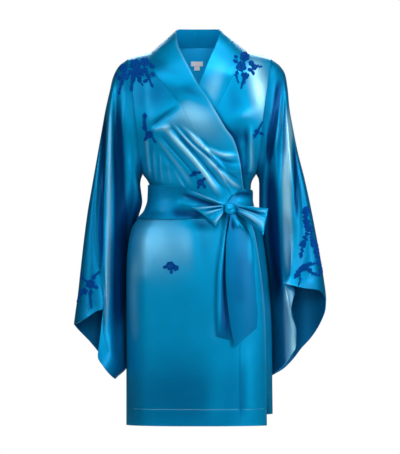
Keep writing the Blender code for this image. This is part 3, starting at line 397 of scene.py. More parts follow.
# Gathers of the back above and below the belt: height, spacing, phase and the height where they lie
BACK_GATHERS = ((2.2, 11.5, 0.0, -285), (2.0, 13.0, 1.1, -430))
GATHER_REACH = 26.0
BACK_FLUTES = (3.0, 31.0, 0.6, -470, 250)  # height, spacing, phase, where they begin and grow over

# Creases on the front of each sleeve, laid over its long folds, by distance from the middle, with painted
# highlight on their ridges and painted shade in their troughs
RIGHT_SLEEVE_CREASES = (
    (((219, -140), (224, -230), (226, -300), (229, -400), (228, -500)), 5, -5.0, 0.2),
    (((207, -76), (209, -180), (211, -330), (214, -500), (218, -612), (223, -690)), 10, 7.0, -0.1),
    (((197, -128), (191, -195), (188, -301), (184, -420), (186, -560), (190, -640)), 15, -7.0, 0.2),
    (((150, -60), (156, -140), (158, -250), (160, -380)), 16, 2.2, 0.2),
    (((150, -300), (154, -420), (162, -600)), 12, -2.0, 0.0),
)
LEFT_SLEEVE_CREASES = (
    (((161, -36), (148, -92), (128, -152)), 13, 9.0, 0.2),
    (((187, -66), (182, -127), (174, -174), (160, -264)), 9, -5.0, 0.0),
    (((195, -82), (191, -150), (176, -236)), 5, 4.0, -0.2),
    (((208, -106), (208, -195), (203, -301), (205, -440), (206, -543)), 13, 9.0, 0.1),
    (((219, -207), (226, -301), (227, -390)), 5, -5.0, 0.0),
    (((206, -540), (211, -620), (214, -700), (216, -760)), 14, 13.0, 0.0),
    (((166, -270), (172, -360), (180, -480), (186, -600)), 15, -3.6, 0.0),
)


def curve(places, values, place):
    """Values at places on a smooth curve through a table's rows, which may run up or down."""
    xs, ys = np.asarray(places, float), np.asarray(values, float)
    if xs[0] > xs[-1]:
        xs, ys = xs[::-1], ys[::-1]
    place = np.clip(place, xs[0], xs[-1])
    i = np.clip(np.searchsorted(xs, place) - 1, 0, len(xs) - 2)
    slopes = np.diff(ys) / np.diff(xs)
    rising = slopes[:-1] * slopes[1:] > 0
    both = np.where(rising, slopes[:-1] + slopes[1:], 1.0)
    tangent = np.concatenate(
        [slopes[:1], np.where(rising, 2 * slopes[:-1] * slopes[1:] / both, 0.0), slopes[-1:]]
    )
    step = xs[i + 1] - xs[i]
    t = (place - xs[i]) / step
    return (
        (1 + 2 * t) * (1 - t) ** 2 * ys[i]
        + t * (1 - t) ** 2 * step * tangent[i]
        + t * t * (3 - 2 * t) * ys[i + 1]
        + t * t * (t - 1) * step * tangent[i + 1]
    )


def smooth(value):
    """0 to 1 with no corner."""
    value = np.clip(value, 0.0, 1.0)
    return value * value * (3 - 2 * value)


def finer(places, step):
    """The places of a table with more between them, no further apart than step."""
    out = [np.array([places[0]], float)]
    for first, last in zip(places[:-1], places[1:]):
        count = max(1, math.ceil(abs(last - first) / step))
        out.append(np.linspace(first, last, count + 1)[1:])
    return np.concatenate(out)


def cloth_levels():
    """Levels of the cloth's rows, twice as close where the fronts are creased."""
    levels = finer(LEVELS, STEP)
    middles = (levels[1:] + levels[:-1]) / 2
    creased = (middles < CREASED_FROM) & (middles > CREASED_TO)
    return np.sort(np.concatenate([levels, middles[creased]]))[::-1]


def armhole_height(z):
    """-1 at the underarm, 1 at the shoulder."""
    middle, half = (SHOULDER_Z + UNDERARM_Z) / 2, (SHOULDER_Z - UNDERARM_Z) / 2
    return np.clip((z - middle) / half, -1.0, 1.0)


def edge_x(side, z):
    """Half width to the side seam or, above the underarm, to the armhole."""
    armhole = UNDERARM_X + (SHOULDER_X - UNDERARM_X) * (armhole_height(z) + 1) / 2
    left, right = (curve(FIGURE["z"], FIGURE[key], z) for key in ("left", "right"))
    figure = np.where(side < 0, left, right)
    return np.where(z > UNDERARM_Z, armhole, figure)


def shoulder(name, x):
    """The shoulder line's rise, or how far back it lies, at x."""
    return curve(SHOULDER["x"], SHOULDER[name], np.abs(x))


def row_height(x, level):
    """Height of a point in the row that meets the armhole or side seam at this level."""
    return level + shoulder("rise", x) * (1 - smooth((SHOULDER_Z - level) / SHOULDER_FADE))


def level_of(x, z):
    """The level of the row that passes through a point."""
    level = np.array(z, float)
    for _ in range(SETTLE_ROUNDS):
        level = level + SETTLE_SHARE * (z - row_height(x, level))
    return level


def depth(face, x, z, level, out=0.0):
    """Distance of the figure's face from the middle, with out standing outside it."""
    q = np.minimum(np.abs(x) / (edge_x(np.where(x < 0, -1, 1), level) + out), 1.0)
    fuller = smooth((FULLER_FROM - level) / (FULLER_FROM - UNDERARM_Z))
    shape = np.maximum(0.0, 1 - q**SECTION_POWER) ** (1 - 0.5 * fuller)
    down = np.maximum(0.0, shoulder("rise", x) + SHOULDER_Z - z)
    roll = np.sqrt(np.maximum(0.0, 1 - (1 - np.minimum(down / ROLL, 1.0)) ** 2))
    start = shoulder("back", x) * (-1 if face == "front" else 1)
    full = curve(FIGURE["z"], FIGURE[face], z) + out
    edge = ARMHOLE[face] * np.sqrt(np.maximum(0.0, 1 - armhole_height(level) ** 2))
    return start * (1 - roll) + edge + (full * roll - edge) * shape


def over_out(x, level):
    """The over front's distance outside the figure, none at its side seam and armhole."""
    return OVER * smooth((x + edge_x(-1, level)) / OVER_EASE)


def over_collar_out(x, level):
    """The over collar half's distance outside the figure."""
    return over_out(x, level) + OVER_COLLAR_OUT


def under_collar_out(x, level):
    """The under collar half's distance outside the figure."""
    return UNDER_COLLAR_OUT + 0 * x


def lie(x, z, out):
    """Points in front of the figure, out mm off it."""
    x, z = np.asarray(x, float), np.asarray(z, float)
    return np.stack([x, -depth("front", x, z, level_of(x, z), out), z], -1)


def smooth_path(points, steps=PATH_STEPS):
    """A smooth line through a few points."""
    points = np.asarray(points, float)
    if len(points) == 2:
        return points[0] + (points[1] - points[0]) * np.linspace(0, 1, steps)[:, None]
    places = np.concatenate([[0], np.cumsum(np.linalg.norm(np.diff(points, axis=0), axis=1))])
    at = np.linspace(0, places[-1], steps)
    return np.stack([curve(places, points[:, k], at) for k in range(points.shape[1])], -1)


def relief(folds, x, z):
    """Height of soft ridges and troughs at x and z. Each runs along its path and is wider on one side."""
    x, z = np.asarray(x, float), np.asarray(z, float)
    total = np.zeros(x.shape)
    for path, half, height, lean in folds:
        line = smooth_path(path)
        nearest = np.full(x.shape, np.inf)
        signed = np.zeros(x.shape)
        share = np.zeros(x.shape)
        for k in range(len(line) - 1):
            (x0, z0), (dx, dz) = line[k], line[k + 1] - line[k]
            long = dx * dx + dz * dz
            along = ((x - x0) * dx + (z - z0) * dz) / long
            held = np.clip(along, 0, 1)
            if k == 0:
                held = np.minimum(along, 1)
            if k == len(line) - 2:
                held = np.maximum(along, 0)
            off_x, off_z = x - x0 - held * dx, z - z0 - held * dz
            far = np.hypot(off_x, off_z)
            closer = far < nearest
            nearest = np.where(closer, far, nearest)
            signed = np.where(closer, np.sign(dx * off_z - dz * off_x), signed)
            share = np.where(closer, (k + held) / (len(line) - 1), share)
        ends = smooth((share + PATH_PAST) / PATH_FADE) * smooth((1 + PATH_PAST - share) / PATH_FADE)
        width = half * (1 + lean * signed)
        total += height * ends * np.exp(-((nearest / width) ** 2))
    return total


def heading(degrees):
    """The unit vector at an angle."""
    return np.array((math.cos(math.radians(degrees)), math.sin(math.radians(degrees))))


def swell(swells, x, z):
    """Height of broad soft swells at x and z."""
    total = np.zeros(np.shape(x + z))
    for middle_x, middle_z, long, half, turn, height in swells:
        way_x, way_z = heading(turn)
        along = (x - middle_x) * way_x + (z - middle_z) * way_z
        aside = (z - middle_z) * way_x - (x - middle_x) * way_z
        total += height * np.exp(-((along / long) ** 2) - (aside / half) ** 2)
    return total


def form(face, x, z):
    """Height of a front's creases and swells at x and z, which sets the painted highlight and shade of its
    satin.
    """
    folds, swells = FORMS[face]
    return relief(folds, x, z) + swell(swells, x, z)


def front_y(face, x, z, out):
    """Where a front's point lies at x and z, out mm outside the figure."""
    folds, swells = FORMS[face]
    rise = relief(folds, x, z) + SWELL_RISE * swell(swells, x, z)
    return -depth("front", x, z, level_of(x, z), out) - rise


def band_shade(x, z):
    """Painted shadow on the under front, close beside the over front's free edge."""
    beside = x - curve(OVER_FREE["z"], OVER_FREE["x"], z)
    near = np.exp(-((np.maximum(beside, 0) / BAND_SHADE_WIDE) ** 2))
    return -BAND_SHADE * near * smooth((BAND_SHADE_FROM - z) / BAND_SHADE_FADE)


def seam_x(table, level):
    """Where a row meets a collar seam."""
    x = curve(table["z"], table["x"], level)
    for _ in range(SETTLE_ROUNDS):
        x = curve(table["z"], table["x"], row_height(x, level))
    return x


def front_grid(table, face, side, columns, out):
    """Rows of a front from its armhole or side seam to its collar seam, left to right."""
    levels = cloth_levels()[:, None]
    inner = seam_x(table, levels) + side * COLLAR_SEAM
    end = np.arcsin(np.clip(inner / edge_x(np.sign(inner), levels), -1, 1))
    place = np.linspace(0, 1, columns)[None, :]
    share = np.sin(side * math.pi / 2 + (end - side * math.pi / 2) * place)
    x = share * edge_x(np.where(share < 0, -1, 1), levels)
    z = row_height(x, levels)
    stand = out(x, levels) if out else 0.0
    inwards = smooth(place * SEAM_EASE)
    fold = form(face, x, z) * inwards
    y = -depth("front", x, z, levels, stand) - fold - hem_step(z) * inwards
    y[0] -= SEAM
    y[:, 0] = np.minimum(y[:, 0], -SEAM)
    # the under front's tone also carries the painted shadow beside the over front's edge
    if side > 0:
        z = z + hem_lift(x, z)
        fold = fold + band_shade(x, z)
    grid = np.stack([x, y, z, fold], -1)
    return grid[:, ::-1] if side > 0 else grid


def hem_step(z):
    """The doubled hem stands out a little."""
    return HEM_STEP * smooth((HEM_Z + bpy.context.scene.robe_sizes.hem * 1000 - z) / HEM_ROUND)


def hem_lift(x, z):
    """The under front and the back hang shorter at the wearer's left."""
    sideways = smooth((x - HEM_LIFT_FROM) / HEM_LIFT_WIDE)
    return HEM_LIFT * sideways * smooth((HEM_Z + HEM_LIFT_HIGH - z) / HEM_LIFT_HIGH)


def back_grid(columns=110):
    """Rows of the back, left to right as seen from behind."""
    levels = cloth_levels()[:, None]
    place = np.linspace(0, 1, columns)[None, :]
    share = np.cos(math.pi * place)
    x = share * edge_x(np.where(share < 0, -1, 1), levels)
    z = row_height(x, levels)
    fold = 0
    for height, spacing, phase, middle in BACK_GATHERS:
        near = np.exp(-(((z - middle) / GATHER_REACH) ** 2))
        fold = fold + height * np.sin(x / spacing + phase) * near
    height, spacing, phase, begin, grow = BACK_FLUTES
    flutes = height * np.sin(x / spacing + phase) * smooth((begin - z) / grow)
    inwards = smooth(np.minimum(place, 1 - place) * BACK_SEAM_EASE)
    fold = (fold + flutes + relief(BACK_FOLDS, x, z)) * inwards
    y = depth("back", x, z, levels) + fold + hem_step(z) * inwards
    y[0] += SEAM
    # the back's satin is painted lighter and darker by a share of its creases, as highlight and shade
    return np.stack([x, np.maximum(y, SEAM), z + hem_lift(x, z), BACK_TONE * fold], -1)


def collar_grid(neck, seam, free, face, out, columns=25):
    """Rows of a collar half from the centre back down, left to right as seen from outside."""
    side = -1 if neck[-1][0] < 0 else 1
    across = np.linspace(0, 1, columns)[None, :, None]
    rows = np.array(neck, float)
    at = finer(range(len(rows)), TABLE_STEP)
    start = np.stack([curve(range(len(rows)), rows[:, k], at) for k in range(3)], -1)
    start += np.array((-side * COLLAR_SEAM, 0, -NECK_DROP))
    end = np.stack([curve(range(len(rows)), rows[:, k], at) for k in range(3, 6)], -1)
    behind = start[:, None] + (end - start)[:, None] * across
    levels = cloth_levels()[1:]
    x0 = seam_x(seam, levels) - side * COLLAR_SEAM
    z0 = row_height(x0, levels)
    free_edge = (curve(free["seam z"], free[key], z0)[:, None] for key in ("x", "y", "z", "stand"))
    x1, y1, z1, stand = free_edge
    y0 = front_y(face, x0, z0, out(x0, levels))[:, None]
    t = np.linspace(0, 1, columns)[None, :]
    x, z = x0[:, None] + (x1 - x0[:, None]) * t, z0[:, None] + (z1 - z0[:, None]) * t
    flat = y0 + (y1 - y0) * t
    lies = front_y(face, x, z, out(x, z))
    # painted highlight along the over band's free edge; on the under band, painted shadow beside the over
    # band
    gleam = EDGE_GLEAM * smooth((t - (1 - EDGE_GLEAM_WIDE)) / EDGE_GLEAM_WIDE)
    tone = form(face, x, z) + (gleam if side < 0 else band_shade(x, z))
    down = np.stack([x, flat * stand + lies * (1 - stand), z, tone], -1)
    grid = np.concatenate([np.pad(behind, ((0, 0), (0, 0), (0, 1))), down])
    grid[0, :, 0] = CENTRE_SEAM_X
    for row, dip in enumerate(CENTRE_DIPS):
        grid[row, :, 1] += dip
    return grid[:, ::-1] if side > 0 else grid


def cuff_base(rings, place):
    """The plain last ring, which a cuff's own shape replaces."""
    outer_x, outer_z, inner_x, inner_z, front, back, inner_y, _ = rings[-1]
    share = (1 - np.cos(np.pi * place)) / 2
    round_up = np.abs(np.sin(np.pi * place)) ** (1 - SLEEVE_FULLER)
    y = inner_y * share**INNER_POWER + np.where(place <= 1, -front, back) * round_up
    return outer_x + (inner_x - outer_x) * share, y, outer_z + (inner_z - outer_z) * share


def sleeve_grid(rings, cuff, folds, creases, side, around=150):
    """Rings of a sleeve, each left to right on its front as seen from outside."""
    ring = finer(range(len(rings)), RING_STEP)[:, None]
    place = sleeve_places(around)[None, :]
    at = [curve(range(len(rings)), column, ring) for column in zip(*rings)]
    outer_x, outer_z, inner_x, inner_z, front, back, inner_y, cuff_share = at
    share = (1 - np.cos(np.pi * place)) / 2
    round_up = np.abs(np.sin(np.pi * place)) ** (1 - SLEEVE_FULLER * smooth(ring / FULLER_RING))
    forwards = place <= 1
    x = outer_x + (inner_x - outer_x) * share
    z = outer_z + (inner_z - outer_z) * share
    y = inner_y * share**INNER_POWER + np.where(forwards, -front, back) * round_up
    base = cuff_base(rings, place)
    x, y, z = (
        value + cuff_share * (curve(cuff["place"], cuff[key], place) - plain)
        for value, key, plain in zip((x, y, z), "xyz", base)
    )
    fold = 0
    for first, last, half, height, begin, full in folds:
        middle = first + (last - first) * (ring - FOLD_RINGS[0]) / (FOLD_RINGS[1] - FOLD_RINGS[0])
        rise = height * np.exp(-(((place - middle) / half) ** 2)) * smooth((ring - begin) / (full - begin))
        fold = fold + np.where(forwards, FRONT_FOLD_SHARE, 1.0) * rise * (1 - CUFF_FOLD_LOSS * cuff_share)
    face = np.where(forwards, smooth(place * CREASE_EASE) * smooth((1 - place) * CREASE_EASE), 0.0)
    calmer = 1 - CUFF_CREASE_LOSS * cuff_share
    crease = relief(creases, x, z) * face * calmer * smooth(ring / CREASE_RINGS)
    # painted highlight on the creases' ridges and painted shade in their troughs, with the whole sleeve
    # painted darker by SLEEVE_SHADE
    tone = crease / calmer - SLEEVE_SHADE
    fold = fold + crease
    y = y + np.where(forwards, -fold, fold)
    x = x + np.where(ring == 0, SLEEVE_SEAM, 0)
    grid = np.stack([side * x, y, z, tone], -1)
    return grid if side < 0 else grid[:, ::-1]


def sleeve_places(around):
    """Places round a sleeve, closest on its front."""
    front = np.linspace(0, 1, int(around * FRONT_PLACES), endpoint=False)
    return np.concatenate([front, np.linspace(1, 2, around - len(front), endpoint=False)])


# Creases of the belt where it is drawn into the knot, as for the fronts, with painted highlight on their
# ridges and painted shade in their troughs
BELT_CREASES = (
    (((-28, -319), (-8, -330), (14, -341), (38, -351), (60, -360)), 5, 4.5, -0.2),
    (((-40, -334), (-10, -345), (20, -357), (48, -366)), 5, -3.0, 0.0),
    (((-52, -352), (-30, -358), (-4, -362)), 6, 2.2, 0.0),
    # a trough under the left bow loop, its tone also a painted shadow of the loop
    (((-66, -377), (-46, -380), (-20, -382), (10, -380)), 9, -2.6, 0.0),
    (((80, -325), (96, -322), (112, -324)), 4, 3.6, 0.0),
    (((84, -338), (102, -334), (122, -334)), 5, -2.2, 0.0),
    (((86, -352), (104, -350), (124, -350)), 5, 2.2, 0.0),
    (((86, -372), (106, -376), (128, -378)), 6, -2.4, 0.0),
)


def belt_grid(columns=210, rows=20):
    """The belt, wound round the waist, with its rows from the upper edge down."""
    angle = np.linspace(-math.pi, math.pi, columns, endpoint=False)[None, :]
    share, front = np.sin(angle), np.cos(angle) > 0
    side = np.where(share < 0, -1, 1)
    turns = np.where(side > 0, BELT_TURNS_LEFT, BELT_TURNS_RIGHT)
    forwards = smooth((np.cos(angle) + turns) / BELT_TURN_FADE)
    out = BELT_OUT_BACK + (BELT_OUT_FRONT - BELT_OUT_BACK) * forwards
    x = share * (edge_x(side, np.full(share.shape, BELT_LEVEL)) + out)
    behind = curve((-1, 1), BELT_BEHIND_TOP, share)
    top = np.where(front, curve(BELT_TOP["x"], BELT_TOP["z"], x), behind)
    low = np.where(front, curve(BELT_BOTTOM["x"], BELT_BOTTOM["z"], x), BELT_BEHIND_LOW)
    z = top + (low - top) * np.linspace(0, 1, rows)[:, None]
    x = share * (edge_x(side, z) + out)
    fold = relief(BELT_CREASES, x, z) * smooth(np.cos(angle) * BELT_EASE)
    ahead = depth("front", x, z, z, out) + fold
    height, down, across = BELT_RIPPLE
    ripple = height * np.sin(z / down + x / across) ** 2 * smooth(-np.cos(angle) * BELT_EASE)
    rear = depth("back", x, z, z, out) + ripple
    # the belt's front is painted darker, with painted highlight and shade on its creases
    return np.stack([x, np.where(front, -ahead, rear), z, fold - BELT_SHADE * forwards], -1)


# Creases of each bow loop, gathered at the knot: place across the loop, half width, height at the knot,
# height halfway, height at the far fold. On the loop's front their heights also set painted highlight and
# painted shade.
LEFT_LOOP_CREASES = (
    (0.10, 0.09, 2.5, 4.6, 0.8),
    (0.27, 0.06, -3.6, -5.0, -1.0),
    (0.36, 0.05, 2.0, 2.4, 0.0),
    (0.62, 0.18, 0.4, 3.2, 1.6),
    (0.94, 0.06, -5.0, -5.0, -1.5),
)
RIGHT_LOOP_CREASES = (
    (0.08, 0.08, 2.0, 3.6, 1.4),
    (0.28, 0.06, -4.0, -3.0, -0.4),
    (0.44, 0.08, 1.6, 3.2, 0.8),
    (0.66, 0.12, -1.0, -1.6, 0.0),
    (0.90, 0.08, 3.0, 3.6, 1.2),
)


def loop_grid(near, far, side, sag, creases, dip, lift, columns=120, rows=56):
    """A bow loop, a band that runs out from the knot, turns at its far line and runs back behind.

    The front layer's upper edge dips and its lower edge lifts by shares of the width, which opens it.
    """
    turn = 2 * math.pi * np.arange(columns) / columns
    reach = ((1 + np.cos(turn)) / 2 if side < 0 else (1 - np.cos(turn)) / 2)[None, :, None]
    ahead = np.clip(np.sin(turn) * LOOP_PARTS, -1, 1)[None, :, None]
    open_up = np.sin(np.pi * reach**LOOP_ROUND) ** LOOP_ROUND * np.clip(ahead, 0, 1)
    b = np.linspace(0, 1, rows)[:, None, None]
    place = dip * open_up + b * (1 - (dip + lift) * open_up)
    root = near[0] + (near[1] - near[0]) * place
    end = far[0] + (far[1] - far[0]) * place + np.array((0, 0, 1.0)) * sag * np.sin(np.pi * place)
    crease = 0
    for middle, half, first, mid, last in creases:
        height = curve((0, 0.5, 1), (first, mid, last), reach)
        crease = crease + height * np.exp(-(((place - middle) / half) ** 2))
    edge, middle = LOOP_DEEP_SHARES
    puff = LOOP_HALF_DEEP * np.sin(turn)[None, :, None] * (edge + middle * np.sin(np.pi * b) ** 0.5)
    share = np.where(ahead > 0, 1, LOOP_REAR_CREASE)
    puff = puff + crease * share * np.abs(ahead) * smooth(reach * LOOP_EASE)
    grid = root + (end - root) * reach - puff * np.array((0, 1, 0))
    return np.concatenate([grid, crease * np.clip(ahead, 0, 1)], -1)


TAIL_CREASED_FROM, TAIL_CREASED_FADE = -384, 30  # height where a tail's creases begin and grow over
# Creases of each tail, as for the fronts, with painted highlight on their ridges and painted shade in their
# troughs
TAIL_FRONT_CREASES = (
    (((78, -386), (84, -398), (90, -412)), 3.5, 4.6, 0.2),
    (((73, -388), (76, -402), (78, -418)), 3, -2.6, 0.0),
    (((84, -388), (94, -402), (104, -418)), 3, 2.6, 0.0),
    (((114, -410), (119, -450), (122, -500)), 7, 1.4, 0.0),
    (((96, -470), (92, -540), (98, -600)), 16, -0.5, 0.0),
    (((84, -700), (100, -684), (124, -662)), 4, 1.2, 0.0),
)
TAIL_BEHIND_CREASES = (
    (((66, -392), (56, -450), (46, -540), (44, -660)), 5, 2.6, 0.0),
    (((70, -392), (66, -450), (60, -540), (62, -660)), 6, -3.4, 0.0),
)


def tail_grid(table, creases, shade, columns=30):
    """A hanging tail of the sash, creased along its length, painted darker over all and lighter or darker
    on its creases as painted highlight and shade.
    """
    rows = finer(range(len(table)), TABLE_STEP)
    at = [curve(range(len(table)), column, rows)[:, None] for column in zip(*table)]
    left_z, right_z, left_x, right_x, out = at
    t = np.linspace(0, 1, columns)[None, :]
    x, z = left_x + (right_x - left_x) * t, left_z + (right_z - left_z) * t
    ridge = relief(creases, x, z) * smooth((TAIL_CREASED_FROM - left_z) / TAIL_CREASED_FADE)
    tone = ridge[..., None] - shade
    return np.concatenate([lie(x, z, out) - ridge[..., None] * np.array((0, 1, 0)), tone], -1)


def knot_grid(around=72, rings=44):
    """The knot: a tight wrap of satin, rounded, with creases that run over it from side to side."""
    up = math.pi * (np.arange(1, rings) / rings)[:, None]
    turn = (2 * math.pi * np.arange(around) / around)[None, :]
    flat = np.sin(up) ** KNOT_FLAT

    def blunt(value):
        return np.sign(value) * np.abs(value) ** KNOT_BLUNT

    across, deep = blunt(np.sin(turn)) * flat, blunt(np.cos(turn)) * flat
    crease = 0
    for height, many, slant, start in KNOT_CREASES:
        crease = crease + height * np.sin(up * many + across * slant + start) * np.clip(deep, 0, 1)
    x = KNOT_X + KNOT_HALF_X * across * (1 - KNOT_PINCH * np.cos(up * KNOT_PINCHES))
    z = KNOT_Z + KNOT_HALF_Z * blunt(np.cos(up)) + 0 * turn
    return lie(x, z, KNOT_OUT) - (KNOT_HALF_DEEP * deep + crease)[..., None] * np.array((0, 1, 0))


def normals(grid, closed):
    """Unit normals of a grid whose rows run down and whose columns run right, seen from outside."""
    if closed:
        across = np.roll(grid, -1, 1) - np.roll(grid, 1, 1)
    else:
        across = np.gradient(grid, axis=1)
    return unit(np.cross(np.gradient(grid, axis=0), across))


def unit(vectors):
    """The vectors at length 1."""
    return vectors / np.maximum(np.linalg.norm(vectors, axis=-1, keepdims=True), 1e-9)


def lengths(grid, axis):
    """Distance along an axis of a grid from its first point."""
    steps = np.linalg.norm(np.diff(grid, axis=axis), axis=2)
    start = np.zeros_like(steps[:1] if axis == 0 else steps[:, :1])
    return np.concatenate([start, np.cumsum(steps, axis=axis)], axis)


def deselect():
    """Nothing is selected and nothing is active."""
    if bpy.context.mode != "OBJECT":
        bpy.ops.object.mode_set(mode="OBJECT")
    bpy.ops.object.select_all(action="DESELECT")
    bpy.context.view_layer.objects.active = None


def shell(name, grid, thick, materials, closed=False, square=None):
    """A closed wall of cloth. The grid is its outer face, with a fourth value where it has one: the fold
    height by which its satin is painted lighter or darker as highlight and shade; the second material lines
    it."""
    fold = grid[..., 3] if grid.shape[2] > 3 else np.zeros(grid.shape[:2])
    grid = grid[..., :3]
    rows, columns = grid.shape[:2]
    out = normals(grid, closed)
    if square:
        out = unit(square(out))
    points = np.concatenate([grid.reshape(-1, 3), (grid - out * thick).reshape(-1, 3)])
    wide = columns if closed else columns - 1
    r, c = np.meshgrid(range(rows - 1), range(wide), indexing="ij")
    after = (c + 1) % columns
    a, b = r * columns + c, r * columns + after
    d, e = a + columns, b + columns
    outer = np.stack([a, d, e, b], -1).reshape(-1, 4)
    half = rows * columns
    edges = [(a[0], b[0]), (e[-1], d[-1])]
    if not closed:
        edges += [(d[:, 0], a[:, 0]), (b[:, -1], e[:, -1])]
    rims = [np.stack([p, q, q + half, p + half], -1) for p, q in edges]
    faces = np.concatenate([outer, outer[:, ::-1] + half, *rims])
    mesh = bpy.data.meshes.new(name)
    mesh.from_pydata((points / 1000).tolist(), [], faces.tolist())
    whole = np.concatenate([grid, grid[:, :1]], 1) if closed else grid
    spread = np.stack([lengths(whole, 1), lengths(whole, 0)], -1) / 1000
    corners = [spread[r + i, c + j] for i, j in ((0, 0), (1, 0), (1, 1), (0, 1))]
    flat = np.stack(corners, -2).reshape(-1, 4, 2)
    rim_uv = [np.repeat(spread.reshape(-1, 2)[:1], 4 * len(rim), 0) for rim in rims]
    uv = np.concatenate([flat.reshape(-1, 2), flat[:, ::-1].reshape(-1, 2), *rim_uv])
    layer = mesh.uv_layers.new(name="Weave")
    layer.data.foreach_set("uv", uv.astype(np.float32).ravel())
    # the heights that set the painted highlight and shade, none on the inner face
    tone = mesh.attributes.new("Fold", "FLOAT", "POINT")
    tone.data.foreach_set("value", np.concatenate([fold.ravel(), 0 * fold.ravel()]).astype(np.float32))
    for material in materials:
        mesh.materials.append(material)
    index = np.zeros(len(faces), np.int32)
    index[len(outer):2 * len(outer)] = len(materials) - 1
    mesh.polygons.foreach_set("material_index", index)
    mesh.update()
    mesh.shade_smooth()
    mesh.set_sharp_from_angle(angle=math.radians(SHARP_FROM))
    piece = bpy.data.objects.new(name, mesh)
    bpy.context.scene.collection.objects.link(piece)
    return piece


def dress(piece, slot, *nodes):
    """Puts a finished piece on the robe in place of its plain solids."""
    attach(piece, BODY)
    if nodes:
        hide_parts(*nodes)
    return piece


def square_front(side):
    """Squares a front's edges to the shoulder seam, the armhole and the side seam."""

    def adjust(out):
        out = out.copy()
        levels = cloth_levels()
        outer = 0 if side < 0 else out.shape[1] - 1
        out[0, :, 1] = 0
        armhole = levels > ARMHOLE_END
        out[armhole, outer, 0] = 0
        out[~armhole, outer] = (side, 0, 0)
        return out

    return adjust


UPWARDS = 0.3  # z of a normal from which the back's top edge is squared


def square_back(out):
    """Squares the back's edges to the shoulder seams, the armholes and the side seams."""
    out = out.copy()
    levels = cloth_levels()
    armhole = levels > ARMHOLE_END
    steep = np.abs(out[0, :, 2]) > UPWARDS
    out[0, steep, 1] = 0
    for column, way in ((0, 1), (out.shape[1] - 1, -1)):
        out[armhole, column, 0] = 0
        out[~armhole, column] = (way, 0, 0)
    return out


def square_sleeve(out):
    """Squares a sleeve's first ring to the armhole."""
    out = out.copy()
    out[0, :, 0] = 0
    return out


NECK_ROWS = 26  # rows of the collar band that lie along the neck seam


def square_collar(side):
    """Squares a collar half to the neck seam and to the centre-back seam."""

    def adjust(out):
        out = out.copy()
        out[0, :, 0] = 0
        out[:NECK_ROWS, 0 if side < 0 else out.shape[1] - 1, 2] = 0
        return out

    return adjust


def fill(made, values):
    """Sets a node's inputs by name or number."""
    for key, value in values.items():
        made.inputs[key].default_value = value


def node(tree, kind, values=None, **settings):
    """A new node with these input values and settings."""
    made = tree.nodes.new(kind)
    for key, value in settings.items():
        setattr(made, key, value)
    fill(made, values or {})
    return made


